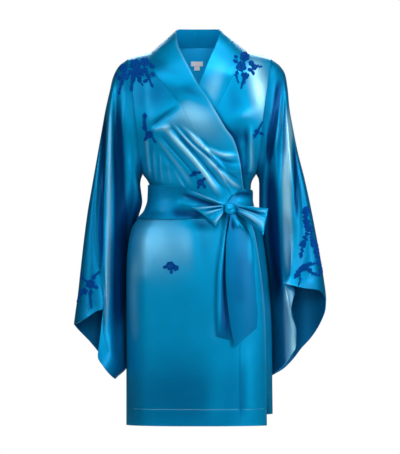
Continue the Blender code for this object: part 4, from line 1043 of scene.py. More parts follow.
# Lace sprays: the panels each lies on, and its parts by place in x and z as seen from the front.
# flower: x, z, radius, petals, turn. leaf: x, z, length, half width, heading. fern: a path of points,
# leaflet length, pairs of leaflets.
LACE_SPRAYS = {
    "lace_shoulder_right": (("front_over", "collar_over", "sleeve_right"), (
        ("flower", -150, -31, 14, 6, 10),
        ("flower", -128, -25, 11, 5, 40),
        ("flower", -137, -50, 9, 5, 75),
        ("fern", ((-152, -42), (-154, -58), (-160, -88)), 11, 7),
        ("fern", ((-130, -36), (-122, -54), (-112, -80)), 10, 7),
        ("fern", ((-142, -40), (-146, -54), (-142, -70)), 8, 4),
        ("fern", ((-141, -56), (-140, -66), (-134, -78)), 7, 4),
        ("leaf", -118, -34, 15, 4.2, -20),
        ("leaf", -114, -50, 13, 3.6, -55),
        ("leaf", -160, -42, 14, 4.0, -120),
        ("leaf", -122, -66, 12, 3.4, -150),
    )),
    "lace_sleeve_top_right": (("sleeve_right", "front_over"), (
        ("flower", -178, -38, 10, 5, 20),
        ("flower", -186, -62, 7, 5, 50),
        ("fern", ((-174, -46), (-180, -64), (-188, -96)), 10, 7),
        ("fern", ((-170, -40), (-178, -50), (-182, -62)), 7, 4),
        ("leaf", -170, -52, 15, 4.0, -100),
        ("leaf", -192, -50, 9, 3.0, -140),
    )),
    "lace_bust_right": (("front_over", "sleeve_right"), (
        ("fern", ((-127, -144), (-129, -162), (-124, -188)), 8, 8),
        ("flower", -119, -196, 8.5, 5, 0),
        ("flower", -128, -180, 6, 5, 30),
        ("fern", ((-116, -186), (-112, -198), (-104, -212)), 7, 5),
        ("leaf", -124, -200, 11, 3.4, -120),
    )),
    "lace_shoulder_left": (("front_under", "collar_under", "sleeve_left"), (
        ("flower", 106, -12, 12, 6, 15),
        ("flower", 98, -36, 12, 5, 40),
        ("flower", 108, -58, 8, 5, 10),
        ("leaf", 90, -14, 10, 3.2, 150),
        ("fern", ((100, -48), (104, -64), (98, -84)), 9, 6),
        ("fern", ((90, -44), (86, -56), (90, -72)), 7, 4),
        ("leaf", 116, -24, 14, 4.0, -40),
        ("leaf", 112, -42, 13, 3.6, -30),
        ("leaf", 90, -24, 12, 3.4, 160),
    )),
    "lace_collar_side_left": (("front_under", "collar_under", "sleeve_left"), (
        ("fern", ((114, -26), (126, -32), (142, -36)), 8, 5),
        ("flower", 128, -38, 7, 5, 0),
        ("leaf", 122, -46, 12, 3.2, -70),
    )),
    "lace_bust_left": (("front_under", "sleeve_left"), (
        ("fern", ((126, -204), (134, -190), (146, -168)), 7, 6),
        ("flower", 134, -188, 6, 5, 20),
        ("leaf", 140, -192, 11, 3.2, -20),
    )),
    "lace_waist_high": (("front_over",), (
        ("flower", -11, -286, 6.5, 5, 10),
        ("leaf", -14, -289, 10, 3.0, 190),
        ("leaf", -4, -286, 8, 2.8, 10),
    )),
    "lace_waist_low": (("front_over",), (
        ("flower", 2, -307, 8.5, 6, 25),
        ("leaf", 8, -303, 9, 3.0, 40),
        ("leaf", -2, -313, 10, 3.0, -110),
        ("leaf", 8, -313, 10, 3.0, -60),
    )),
    "lace_skirt": (("front_over",), (
        ("flower", -68, -502, 11, 6, 0),
        ("flower", -55, -507, 7, 5, 30),
        ("leaf", -77, -503, 9, 3.2, 190),
        ("leaf", -66, -512, 9, 3.0, -100),
    )),
    "lace_sleeve_fold_right": (("sleeve_right",), (
        ("fern", ((-231, -384), (-233, -420), (-231, -460), (-233, -504)), 6, 16),
    )),
    "lace_cuff_right": (("sleeve_right",), (
        ("flower", -256, -545, 11, 6, 20),
        ("flower", -270, -562, 8, 5, 0),
        ("fern", ((-252, -536), (-246, -526), (-236, -518)), 8, 4),
        ("fern", ((-264, -540), (-272, -532), (-276, -520)), 6, 4),
        ("fern", ((-276, -556), (-280, -572), (-286, -584)), 7, 4),
        ("fern", ((-254, -556), (-256, -572), (-254, -598)), 8, 6),
        ("leaf", -248, -550, 12, 3.6, -30),
    )),
    "lace_cuff_left_high": (("sleeve_left",), (
        ("fern", ((254, -360), (248, -384), (254, -412), (246, -446), (238, -476)), 14, 12),
        ("fern", ((254, -408), (262, -424), (262, -452)), 9, 6),
        ("flower", 250, -398, 8, 5, 10),
        ("flower", 242, -452, 8, 5, 40),
    )),
    "lace_cuff_left_side": (("sleeve_left",), (
        ("fern", ((262, -436), (274, -462), (278, -486), (288, -510)), 12, 8),
        ("flower", 274, -470, 7, 5, 20),
        ("leaf", 268, -452, 12, 3.2, 60),
    )),
    "lace_cuff_left_low": (("sleeve_left",), (
        ("fern", ((222, -532), (236, -512), (252, -500), (276, -496)), 11, 9),
        ("flower", 246, -506, 9, 6, 0),
        ("fern", ((254, -506), (262, -518), (278, -524)), 9, 5),
        ("fern", ((232, -520), (236, -534), (232, -546)), 6, 4),
        ("flower", 284, -516, 6, 5, 20),
    )),
}
# Across a lace leaf or petal: places from edge to edge and the share of the lace's height at each, with
# a cord along both edges and one down the middle
LEAF_ACROSS = np.array((-1, -0.8, -0.5, -0.2, 0, 0.2, 0.5, 0.8, 1))
LEAF_PROFILE = np.array((0.25, 1.0, 0.4, 0.45, 0.9, 0.45, 0.4, 1.0, 0.25))
CORD_ACROSS = np.array((-1, -0.6, 0, 0.6, 1))
CORD_PROFILE = np.array((0.25, 0.85, 1.1, 0.85, 0.25))
CORD_HALF = 1.3
LACE_UNDER = 0.15  # the lace's underside above the satin
LACE_LEAST, LACE_ENDS = 0.2, 0.6  # its least wall, and the share of its height at a strip's ends
LEAF_FULLER, LEAF_STEM, LEAF_SWELL, LEAF_ROUND = 1.35, 0.16, 0.84, 0.75
TOOTH, TEETH = 0.1, 4.5  # share of a leaf's width that its teeth cut in, and how many there are
# Shares of a flower's radius: the ring round its eye and that ring's cord, and the eye's half length and
# half width. The eye stands higher than other cords.
EYE_RING, EYE_CORD, EYE_LONG, EYE_WIDE, EYE_HIGH = 0.3, 0.09, 0.16, 0.17, 1.2
PETAL_LONG, PETAL_VARIES, PETAL_WIDE = 0.72, 0.06, 1.9
PAIR_STEP, FIRST_PAIR = 8, 3  # points of a stem between two pairs of leaves, and before the first
LEAVES_LONG, LEAVES_VARY, LEAVES_WIDE, LEAVES_BOW = 0.86, 0.14, 0.33, 0.14
TIP_LONG, TIP_WIDE = 0.6, 0.2
SPREAD, SPREAD_VARIES = 46, 9  # degrees between a small leaf and its stem


def ribbon(line, half, across, profile):
    """A strip of lace in the plane: its points, row by row, and the share of the height at each."""
    way = unit(np.gradient(line, axis=0))
    aside = np.stack([-way[:, 1], way[:, 0]], -1)
    wide = np.broadcast_to(np.asarray(half, float), (len(line),))
    grid = line[:, None] + aside[:, None] * (wide[:, None] * across)[..., None]
    return grid, np.broadcast_to(profile, grid.shape[:2])


def leaf(x, z, long, half, degrees, fullest=0.8, bow=0.12):
    """A leaf or petal with corded, slightly toothed edges. Fullest is below 1 to widen it near its base."""
    t = np.linspace(0, 1, 9)
    way = heading(degrees)
    aside = np.array((-way[1], way[0]))
    line = np.array((x, z)) + long * (t[:, None] * way + bow * np.sin(np.pi * t)[:, None] * aside)
    round_out = LEAF_STEM + LEAF_SWELL * np.sin(np.pi * t**fullest) ** LEAF_ROUND
    wide = LEAF_FULLER * half * round_out * (1 - TOOTH * np.sin(TEETH * np.pi * t) ** 2)
    return [ribbon(line, wide, LEAF_ACROSS, LEAF_PROFILE)]


def flower(x, z, radius, petals, turn):
    """A flower of separate petals round an eye, with a ring of cord round the eye."""
    strips = []
    for k in range(petals):
        way = turn + 360 * k / petals
        start = np.array((x, z)) + EYE_RING * radius * heading(way)
        size = PETAL_LONG + PETAL_VARIES * math.sin(2.3 * k + x)
        strips += leaf(*start, radius * size, radius * PETAL_WIDE / petals, way, fullest=1.35, bow=0.06)
    round_eye = np.array([(x, z) + EYE_RING * radius * heading(a) for a in np.linspace(0, 360, 15)])
    strips.append(ribbon(round_eye, EYE_CORD * radius, CORD_ACROSS, CORD_PROFILE))
    eye = np.array([(x, z) + radius * EYE_LONG * t * heading(turn) for t in np.linspace(-1, 1, 5)])
    wide = EYE_WIDE * radius * np.sqrt(1 - 0.9 * np.linspace(-1, 1, 5) ** 2)
    strips.append(ribbon(eye, wide, CORD_ACROSS, CORD_PROFILE * EYE_HIGH))
    return strips


def fern(path, long, pairs):
    """A stem of cord with pairs of small leaves, shorter towards its tip, and a leaf at the tip."""
    line = smooth_path(path, PAIR_STEP * pairs)
    strips = [ribbon(line, CORD_HALF, CORD_ACROSS, CORD_PROFILE)]
    way = np.gradient(line, axis=0)
    for k in range(pairs):
        at = min(PAIR_STEP * k + FIRST_PAIR, len(line) - 2)
        along = math.degrees(math.atan2(way[at, 1], way[at, 0]))
        size = long * (1 - 0.5 * k / pairs) * (LEAVES_LONG + LEAVES_VARY * math.sin(1.7 * k + long))
        for side in (-1, 1):
            place = line[min(at + (2 if side > 0 else 0), len(line) - 1)]
            spread = side * (SPREAD + SPREAD_VARIES * math.sin(2.1 * k + side))
            strips += leaf(*place, size, size * LEAVES_WIDE, along + spread, bow=-LEAVES_BOW * side)
    last = math.degrees(math.atan2(way[-1, 1], way[-1, 0]))
    strips += leaf(*line[-1], long * TIP_LONG, long * TIP_WIDE, last)
    return strips


LACE_PARTS = {"flower": flower, "leaf": leaf, "fern": fern}


OUTSIDE = 400.0  # distance from the middle that is outside every piece
NEAR_FRONT = -30.0  # depth from which the nearest point is taken where nothing is met
FACES_AWAY = 0.2  # y of a normal that is too far round for lace on the front


class Surface:
    """The finished faces of some pieces, to lay lace, labels and stitches on, in millimetres."""

    def __init__(self, names):
        points, faces = [], []
        for name in names:
            mesh = bpy.data.objects[name + "_satin"].data
            start = len(points)
            points += [vertex.co * 1000 for vertex in mesh.vertices]
            faces += [[start + k for k in face.vertices] for face in mesh.polygons]
        self.tree = BVHTree.FromPolygons(points, faces)

    def lay(self, x, z, inside=False, way=-1):
        """The point met from the front (way -1), the back (way 1) or inside, and the way out of it."""
        start = Vector((x, 0.0 if inside else OUTSIDE * way, z))
        point, normal, _, _ = self.tree.ray_cast(start, Vector((0, -way, 0)))
        if point is None:
            point, normal, _, _ = self.tree.find_nearest(Vector((x, NEAR_FRONT, z)))
        if not inside and way < 0 and normal.y > FACES_AWAY:
            normal = Vector((normal.x, 0, normal.z)).normalized()
        return np.array(point), np.array(normal)


def lace_mesh(name, strips, surface, height):
    """Lays strips of lace on a surface as one piece of small closed shells."""
    points, faces, spread = [], [], []
    for grid, profile in strips:
        rows, columns = grid.shape[:2]
        laid = [[surface.lay(*place) for place in row] for row in grid]
        base = np.array([[spot[0] for spot in row] for row in laid])
        out = np.array([[spot[1] for spot in row] for row in laid])
        out = unit(out + out.mean((0, 1)))
        ends = np.ones(rows)
        ends[[0, -1]] = LACE_ENDS
        top = base + out * (LACE_UNDER + LACE_LEAST + height * profile * ends[:, None])[..., None]
        under = base + out * LACE_UNDER
        start, half = len(points), rows * columns
        points += [*top.reshape(-1, 3), *under.reshape(-1, 3)]
        spread += [*grid.reshape(-1, 2), *grid.reshape(-1, 2)]
        a = start + (np.arange(rows - 1)[:, None] * columns + np.arange(columns - 1)).ravel()
        b, low = a + columns, a + half
        faces += np.stack([a, b, b + 1, a + 1], -1).tolist()
        faces += np.stack([low, low + 1, low + columns + 1, low + columns], -1).tolist()
        loop = [*range(columns - 1), *range(columns - 1, half - 1, columns)]
        loop += [*range(half - 1, half - columns, -1), *range(half - columns, 0, -columns)]
        around = [start + k for k in loop]
        faces += [[p, q, q + half, p + half] for p, q in zip(around, around[1:] + around[:1])]
    mesh = bpy.data.meshes.new(name)
    mesh.from_pydata((np.array(points) / 1000).tolist(), [], faces)
    layer = mesh.uv_layers.new(name="Weave")
    corners = np.zeros(len(mesh.loops), np.int32)
    mesh.loops.foreach_get("vertex_index", corners)
    layer.data.foreach_set("uv", (np.array(spread)[corners] / 1000).astype(np.float32).ravel())
    mesh.materials.append(material_of("Lace thread"))
    mesh.update()
    shape = bmesh.new()
    shape.from_mesh(mesh)
    bmesh.ops.recalc_face_normals(shape, faces=shape.faces)
    shape.to_mesh(mesh)
    shape.free()
    mesh.shade_smooth()
    piece = bpy.data.objects.new(name, mesh)
    bpy.context.scene.collection.objects.link(piece)
    return piece


RIDGE_FULL = 7.0  # height of a fold whose satin is wholly painted with the highlight colour, in millimetres
TROUGH_FULL = 5.0  # depth of a trough whose satin is wholly painted with the shade colour
WARP_SLANT, WEFT_SLANT, FLOAT_SHARE = 0.2, 0.5, 0.6  # the satin's fine slanting lines
CLOUD_TONE = 0.16  # how much its cloudy tone varies
COAT = {"Coat Weight": 0.04, "Coat Roughness": 0.25}
COLOUR_FACTOR, COLOUR_A, COLOUR_B, COLOUR_OUT = 0, 6, 7, 2  # sockets of a colour mix


def weave_group():
    """Shader group for cloth: fine threads and pressed-in puckers as a height, cloudy tone, and the shares
    of painted highlight and painted shade that the fold heights set.
    """
    if "Cloth surface" in bpy.data.node_groups:
        return bpy.data.node_groups["Cloth surface"]
    tree = bpy.data.node_groups.new("Cloth surface", "ShaderNodeTree")
    for name, default in (("Thread", 0.0006), ("Thread depth", 0.05), ("Pucker", 0.3), ("Slub", 0.1)):
        socket = tree.interface.new_socket(name, in_out="INPUT", socket_type="NodeSocketFloat")
        socket.default_value = default
    for name in ("Height", "Tone", "Ridge", "Trough"):
        tree.interface.new_socket(name, in_out="OUTPUT", socket_type="NodeSocketFloat")
    given, made = tree.nodes.new("NodeGroupInput"), tree.nodes.new("NodeGroupOutput")
    link = tree.links.new

    def maths(operation, first, second):
        step = node(tree, "ShaderNodeMath", operation=operation)
        for socket, value in zip(step.inputs, (first, second)):
            if isinstance(value, (int, float)):
                socket.default_value = value
            else:
                link(value, socket)
        return step.outputs[0]

    uv = node(tree, "ShaderNodeUVMap", uv_map="Weave")
    place = node(tree, "ShaderNodeTexCoord")
    apart = node(tree, "ShaderNodeSeparateXYZ")
    link(uv.outputs["UV"], apart.inputs[0])
    turns = maths("DIVIDE", 2 * math.pi, given.outputs["Thread"])
    warp = maths("SINE", maths("MULTIPLY", apart.outputs["X"], turns), 0)
    rise = maths("MULTIPLY", apart.outputs["X"], WARP_SLANT)
    run = maths("MULTIPLY", apart.outputs["Y"], WEFT_SLANT)
    slant = maths("ADD", rise, run)
    float_over = maths("SINE", maths("MULTIPLY", slant, turns), 0)
    twill = maths("ADD", warp, maths("MULTIPLY", float_over, FLOAT_SHARE))
    threads = maths("MULTIPLY", twill, given.outputs["Thread depth"])
    clouds = node(tree, "ShaderNodeTexNoise", {"Scale": 21.0, "Detail": 2.0, "Roughness": 0.45})
    link(place.outputs["Object"], clouds.inputs["Vector"])
    pucker = maths("MULTIPLY", clouds.outputs["Fac"], given.outputs["Pucker"])
    link(maths("ADD", threads, pucker), made.inputs["Height"])
    stretch = node(tree, "ShaderNodeMapping", {"Scale": (8.0, 420.0, 1.0)})
    link(uv.outputs["UV"], stretch.inputs["Vector"])
    slubs = node(tree, "ShaderNodeTexNoise", {"Scale": 1.0, "Detail": 1.0})
    link(stretch.outputs["Vector"], slubs.inputs["Vector"])
    uneven = maths("MULTIPLY", maths("SUBTRACT", slubs.outputs["Fac"], 0.5), given.outputs["Slub"])
    broad = maths("MULTIPLY", maths("SUBTRACT", clouds.outputs["Fac"], 0.5), CLOUD_TONE)
    link(maths("ADD", maths("ADD", uneven, broad), 1.0), made.inputs["Tone"])
    fold = node(tree, "ShaderNodeAttribute", attribute_name="Fold")
    for name, full in (("Ridge", RIDGE_FULL), ("Trough", -TROUGH_FULL)):
        share = node(tree, "ShaderNodeMapRange", {"From Max": full}, interpolation_type="SMOOTHSTEP")
        link(fold.outputs["Fac"], share.inputs["Value"])
        link(share.outputs["Result"], made.inputs[name])
    return tree


# Each finish: its colour setting, roughness, index of refraction, width of a thread in metres, depth of
# the threads and of the puckers in millimetres, strength of the slubs, and gleam
FINISHES = {
    "Satin face": ("satin", 0.41, 1.1, 0.0006, 0.02, 0.35, 0.06, 0.65),
    # a duller reverse, its colour also darker as painted shade inside the sleeves and fronts
    "Satin reverse": ("reverse", 0.5, 1.2, 0.0006, 0.03, 0.4, 0.06, 0.3),
    # painted lighter than the face, as light falling into the neck
    "Satin neck": ("neck", 0.45, 1.2, 0.0006, 0.03, 0.4, 0.06, 0.3),
    "Lace thread": ("lace", 0.7, 1.12, 0.0009, 0.25, 0.3, 0.2, 0.0),
    "Label tape": ("label", 0.6, 1.5, 0.0005, 0.1, 0.05, 0.1, 0.0),
    "Hem thread": ("thread", 0.5, 1.5, 0.0003, 0.02, 0.0, 0.1, 0.0),
}


def material_of(name):
    """A finish, made once. The satin's face is painted with a highlight colour on ridges and a shade colour
    in troughs.
    """
    if name in bpy.data.materials:
        return bpy.data.materials[name]
    colours = bpy.context.scene.robe_colours
    setting, roughness, ior, thread, depth, pucker, slub, gleam = FINISHES[name]
    colour = painted_highlight = painted_shade = getattr(colours, setting)[:3]
    if name == "Satin face":
        painted_highlight, painted_shade = colours.painted_highlight[:3], colours.painted_shade[:3]
    material = bpy.data.materials.new(name)
    material.use_nodes = True
    tree = material.node_tree
    shader = tree.nodes["Principled BSDF"]
    surface = node(tree, "ShaderNodeGroup", node_tree=weave_group())
    fill(surface, {"Thread": thread, "Thread depth": depth, "Pucker": pucker, "Slub": slub})
    hue = node(tree, "ShaderNodeHueSaturation", {"Color": (*colour, 1)})
    tree.links.new(surface.outputs["Tone"], hue.inputs["Value"])
    colour_now = hue.outputs["Color"]
    # mix in the painted highlight on ridges and the painted shade in troughs
    for share, deep in (("Ridge", painted_highlight), ("Trough", painted_shade)):
        mix = node(tree, "ShaderNodeMix", data_type="RGBA")
        fill(mix, {COLOUR_B: (*deep, 1)})
        tree.links.new(surface.outputs[share], mix.inputs[COLOUR_FACTOR])
        tree.links.new(colour_now, mix.inputs[COLOUR_A])
        colour_now = mix.outputs[COLOUR_OUT]
    tree.links.new(colour_now, shader.inputs["Base Color"])
    rough = node(tree, "ShaderNodeMath", {1: roughness}, operation="MULTIPLY")
    tree.links.new(surface.outputs["Tone"], rough.inputs[0])
    tree.links.new(rough.outputs[0], shader.inputs["Roughness"])
    bump = node(tree, "ShaderNodeBump", {"Strength": 1.0, "Distance": 0.001})
    tree.links.new(surface.outputs["Height"], bump.inputs["Height"])
    tree.links.new(bump.outputs["Normal"], shader.inputs["Normal"])
    fill(shader, {"IOR": ior, "Metallic": gleam})
    if gleam:
        fill(shader, COAT)
    return material


def satin(inside="Satin reverse"):
    """The face of the satin and what its other side shows."""
    return [material_of("Satin face"), material_of(inside)]


class RobeSizes(bpy.types.PropertyGroup):
    """Walls and makings of the robe."""

    cloth: bpy.props.FloatProperty(
        name="Cloth wall", description="Thickness of a satin panel", default=0.0015, unit="LENGTH"
    )
    band: bpy.props.FloatProperty(
        name="Collar wall", description="Thickness of the doubled collar band", default=0.002, unit="LENGTH"
    )
    belt: bpy.props.FloatProperty(
        name="Belt wall", description="Thickness of the folded belt", default=0.0018, unit="LENGTH"
    )
    lace: bpy.props.FloatProperty(
        name="Lace height", description="Height of the lace above the satin", default=0.0012, unit="LENGTH"
    )
    hem: bpy.props.FloatProperty(
        name="Hem depth", description="Height of the hem's stitches above its edge", default=0.039,
        unit="LENGTH"
    )
    stitch: bpy.props.FloatProperty(
        name="Stitch length", description="Length of one stitch", default=0.004, unit="LENGTH"
    )


class RobeColours(bpy.types.PropertyGroup):
    """Colours of the robe's cloth and thread, and the highlight and shade painted on the satin."""

    satin: bpy.props.FloatVectorProperty(
        name="Satin", description="Azure face of the satin", default=(0.0, 0.22, 0.44), subtype="COLOR"
    )
    # Colours painted on the satin's face: highlight on ridges and shade in troughs
    painted_highlight: bpy.props.FloatVectorProperty(
        name="Satin painted highlight", description="Highlight painted on top of a fold", default=(0.26, 0.56, 0.72),
        subtype="COLOR"
    )
    painted_shade: bpy.props.FloatVectorProperty(
        name="Satin painted shade", description="Shade painted between two folds", default=(0.0, 0.04, 0.14),
        subtype="COLOR"
    )
    # The duller reverse of the satin, also painted darker as the shade inside the sleeves and fronts
    reverse: bpy.props.FloatVectorProperty(
        name="Reverse", description="Duller inside of the satin, painted darker as shade", default=(0.0, 0.11, 0.27), subtype="COLOR"
    )
    # The inside of the back and collar is painted about twice as light as the face, standing in for light
    # falling into the neck
    neck: bpy.props.FloatVectorProperty(
        name="Neck painted lighter", description="Inside of the back and collar, painted lighter", default=(0.0, 0.4, 0.82), subtype="COLOR"
    )
    lace: bpy.props.FloatVectorProperty(
        name="Lace", description="Royal blue of the lace", default=(0.0, 0.05, 0.25), subtype="COLOR"
    )
    label: bpy.props.FloatVectorProperty(
        name="Label", description="Woven label tape", default=(0.95, 0.97, 1.0), subtype="COLOR"
    )
    thread: bpy.props.FloatVectorProperty(
        name="Thread", description="Sewing thread", default=(0.22, 0.48, 0.62), subtype="COLOR"
    )


class StudioSettings(bpy.types.PropertyGroup):
    """The camera and the floor."""

    distance: bpy.props.FloatProperty(
        name="Camera distance", description="From the camera to the robe", default=14.0, unit="LENGTH"
    )
    floor: bpy.props.FloatProperty(
        name="Floor height", description="Height of the floor under the robe", default=-1.25, unit="LENGTH"
    )


class ROBE_OT_fronts(bpy.types.Operator):
    """Makes the over front, on the wearer's right, and the under front"""

    bl_idname = "robe.fronts"
    bl_label = "Fronts"

    def execute(self, context):
        wall = context.scene.robe_sizes.cloth * 1000
        for name, seam, face, side, columns, out in (
            ("front_over", OVER_SEAM, "over", -1, 130, over_out),
            ("front_under", UNDER_SEAM, "under", 1, 96, None),
        ):
            grid = front_grid(seam, face, side, columns, out)
            front = shell(name + "_satin", grid, wall, satin(), square=square_front(side))
            dress(front, "satin", name)
        return {"FINISHED"}


class ROBE_OT_back(bpy.types.Operator):
    """Makes the back, from the shoulder seams to the hem"""

    bl_idname = "robe.back"
    bl_label = "Back"

    def execute(self, context):
        wall = context.scene.robe_sizes.cloth * 1000
        back = shell("back_satin", back_grid(), wall, satin("Satin neck"), square=square_back)
        dress(back, "satin", "back")
        return {"FINISHED"}


class ROBE_OT_collar(bpy.types.Operator):
    """Makes the two halves of the collar band, from the centre back down each front edge"""

    bl_idname = "robe.collar"
    bl_label = "Collar"

    def execute(self, context):
        wall = context.scene.robe_sizes.band * 1000
        for name, neck, seam, free, face, out, side in (
            ("collar_over", NECK_OVER, OVER_SEAM, OVER_FREE, "over", over_collar_out, -1),
            ("collar_under", NECK_UNDER, UNDER_SEAM, UNDER_FREE, "under", under_collar_out, 1),
        ):
            grid = collar_grid(neck, seam, free, face, out)
            band = shell(name + "_satin", grid, wall, satin("Satin neck"), square=square_collar(side))
            dress(band, "satin", name)
        return {"FINISHED"}


class ROBE_OT_sleeves(bpy.types.Operator):
    """Makes both sleeves, open tubes from the armholes to the wide cuffs"""

    bl_idname = "robe.sleeves"
    bl_label = "Sleeves"

    def execute(self, context):
        wall = context.scene.robe_sizes.cloth * 1000
        for name, rings, cuff, folds, creases, side in (
            ("sleeve_right", RIGHT_RINGS, RIGHT_CUFF, RIGHT_SLEEVE_FOLDS, RIGHT_SLEEVE_CREASES, -1),
            ("sleeve_left", LEFT_RINGS, LEFT_CUFF, LEFT_SLEEVE_FOLDS, LEFT_SLEEVE_CREASES, 1),
        ):
            grid = sleeve_grid(rings, cuff, folds, creases, side)
            sleeve = shell(name + "_satin", grid, wall, satin(), closed=True, square=square_sleeve)
            dress(sleeve, "satin", name)
        return {"FINISHED"}


class ROBE_OT_sash(bpy.types.Operator):
    """Makes the belt, the knot, the two bow loops and the two tails"""

    bl_idname = "robe.sash"
    bl_label = "Sash"

    def execute(self, context):
        wall = context.scene.robe_sizes.belt * 1000
        belt = shell("belt_satin", belt_grid(), wall, satin()[:1], closed=True)
        dress(belt, "satin", "belt")
        far_right = [lie(*corner) for corner in RIGHT_LOOP_END]
        far_left = np.array(LEFT_LOOP_END)
        for name, side, high, far, sag, creases, dip, lift in (
            ("bow_loop_right", -1, -360, far_right, 4, RIGHT_LOOP_CREASES, 0, 0.06),
            ("bow_loop_left", 1, -359, far_left, 0, LEFT_LOOP_CREASES, 0.2, 0.26),
        ):
            beside = KNOT_X + side * (KNOT_HALF_X + LOOP_BESIDE)
            near = (lie(beside, high, KNOT_OUT), lie(beside, LOOP_LOW, KNOT_OUT))
            grid = loop_grid(near, far, side, sag, creases, dip, lift)
            dress(shell(name + "_satin", grid, BOW_WALL, satin()[:1], closed=True), "satin", name)
        for name, table, creases in (
            ("tail_front", RIGHT_TAIL, TAIL_FRONT_CREASES),
            ("tail_behind", LEFT_TAIL, TAIL_BEHIND_CREASES),
        ):
            grid = tail_grid(table, creases, TAIL_SHADE[name])
            dress(shell(name + "_satin", grid, BOW_WALL, satin()[:1]), "satin", name)
        dress(shell("knot_satin", knot_grid(), BOW_WALL, satin()[:1], closed=True), "satin", "knot")
        return {"FINISHED"}


class ROBE_OT_lace(bpy.types.Operator):
    """Lays the lace sprays on the shoulders, bust, waist, skirt and sleeves"""

    bl_idname = "robe.lace"
    bl_label = "Lace"

    def execute(self, context):
        height = context.scene.robe_sizes.lace * 1000
        for name, (panels, parts) in LACE_SPRAYS.items():
            surface = Surface(panels)
            strips = [strip for kind, *values in parts for strip in LACE_PARTS[kind](*values)]
            dress(lace_mesh(name + "_thread", strips, surface, height), "lace", name)
        return {"FINISHED"}


# Labels on the inside of the back: left and right x, top and lower z, how far its middle stands off
LABELS = {
    "neck_label": (-20, 8, -20, -31, 0.6),
    "size_tag": (-12.5, 0.5, -31.5, -41, 0.9),
}
LABEL_WALL, LABEL_CLEAR = 0.5, 0.3
LABEL_ROWS, LABEL_COLUMNS = 13, 29
LABEL_ROUND = 0.6  # how square a label stands off across its width
LABEL_TOP = 0.4  # share of that distance at its upper edge


class ROBE_OT_labels(bpy.types.Operator):
    """Sews the two blank labels to the inside of the back"""

    bl_idname = "robe.labels"
    bl_label = "Labels"

    def execute(self, context):
        surface = Surface(("back",))
        for name, (left, right, top, low, stands) in LABELS.items():
            grid = []
            for t in np.linspace(0, 1, LABEL_ROWS):
                row = []
                for x in np.linspace(left, right, LABEL_COLUMNS):
                    point, normal = surface.lay(x, top + (low - top) * t, inside=True)
                    share = (x - left) / (right - left)
                    down = LABEL_TOP + (1 - LABEL_TOP) * t
                    off = stands * math.sin(math.pi * share) ** LABEL_ROUND * down
                    row.append(point + normal * (LABEL_WALL + LABEL_CLEAR + off))
                grid.append(row)
            tape = shell(name + "_tape", np.array(grid), LABEL_WALL, [material_of("Label tape")])
            dress(tape, "label", name)
        return {"FINISHED"}


# Rows of hem stitches: the piece, the way it faces, left and right x
HEM_STITCHES = (
    ("front_over", -1, -150, 92),
    ("collar_over", -1, 104, 152),
    ("back", 1, -150, 150),
)
STITCH_GAP = 7.0
STITCH_SHAPE = (1.0, 0.16, 0.2)  # a stitch's length, depth and height for a half length of 1
STITCH_OUT = 0.25  # how far its middle lies off the satin
# How unevenly the stitches are sewn: by how much, and how fast it changes along the row
STITCH_VARIES = {"place": (1.0, 1.9), "height": (0.4, 1.0), "tilt": (0.12, 3.1)}


def uneven(what, x):
    """How far the stitch at x is off in its place, height or tilt."""
    amount, pace = STITCH_VARIES[what]
    return amount * math.sin(pace * x)


class ROBE_OT_stitches(bpy.types.Operator):
    """Sews the small stitches that hold the hem"""

    bl_idname = "robe.stitches"
    bl_label = "Hem stitches"

    def execute(self, context):
        sizes = context.scene.robe_sizes
        deselect()
        bpy.ops.mesh.primitive_uv_sphere_add(segments=8, ring_count=6, radius=1.0, scale=STITCH_SHAPE)
        bpy.ops.object.transform_apply(location=True, rotation=True, scale=True)
        first = context.active_object
        first.scale = (sizes.stitch / 2,) * 3
        bpy.ops.object.transform_apply(location=True, rotation=True, scale=True)
        bpy.ops.object.shade_smooth()
        first.data.materials.append(material_of("Hem thread"))
        for name, way, left, right in HEM_STITCHES:
            surface = Surface((name,))
            row = []
            for x in np.arange(left, right, STITCH_GAP):
                z = HEM_Z + sizes.hem * 1000 + uneven("height", x)
                place = surface.lay(x + uneven("place", x), z, way=way)[0]
                stitch = first.copy()
                stitch.data = first.data.copy()
                stitch.location = Vector(place + np.array((0, STITCH_OUT * way, 0))) / 1000
                stitch.rotation_euler = (0, uneven("tilt", x), 0)
                context.scene.collection.objects.link(stitch)
                row.append(stitch)
            deselect()
            for stitch in row:
                stitch.select_set(True)
            context.view_layer.objects.active = row[0]
            bpy.ops.object.join()
            bpy.ops.object.transform_apply(location=True, rotation=True, scale=True)
            row[0].name = name + "_stitches"
            dress(row[0], "satin")
        bpy.data.objects.remove(first)
        return {"FINISHED"}


class ROBE_OT_cuts(bpy.types.Operator):
    """Left empty: it states no cut sizes"""

    bl_idname = "robe.cuts"
    bl_label = "Cut sizes"

    def execute(self, context):
        return {"FINISHED"}


FRAME_WIDE, FRAME_HIGH = 400, 454  # the picture, in pixels
PIXEL = 2.35  # size of one of its pixels at the robe
FRAME_LEFT, FRAME_TOP = 199.5, 52.0  # the pixel where the robe's origin lies
SENSOR = 36.0
WORLD_LIGHT = 0.035  # strength of the white surroundings on everything that the camera sees
FLOOR_RADIUS = 1.9
# Soft boxes: name, place, target, width, height, power, and whether reflections show it
LIGHTS = (
    ("Overhead", (0.35, -0.6, 1.6), (0, 0, -0.2), 1.4, 0.7, 31, True),
    ("Left strip", (-1.9, -1.2, 0.35), (0, 0, -0.45), 0.7, 1.3, 24, True),
    ("Right strip", (1.8, -1.2, 0.25), (0, 0, -0.35), 0.7, 1.5, 38, True),
    ("Back light", (0.0, 2.4, 1.2), (0, 0, -0.4), 1.6, 0.8, 40, True),
    ("Front box", (0.05, -2.8, 0.55), (0, 0, -0.35), 1.4, 0.8, 22, True),
    ("Fill", (0.0, -2.6, 0.1), (0, 0, -0.35), 2.4, 1.2, 22, False),
)


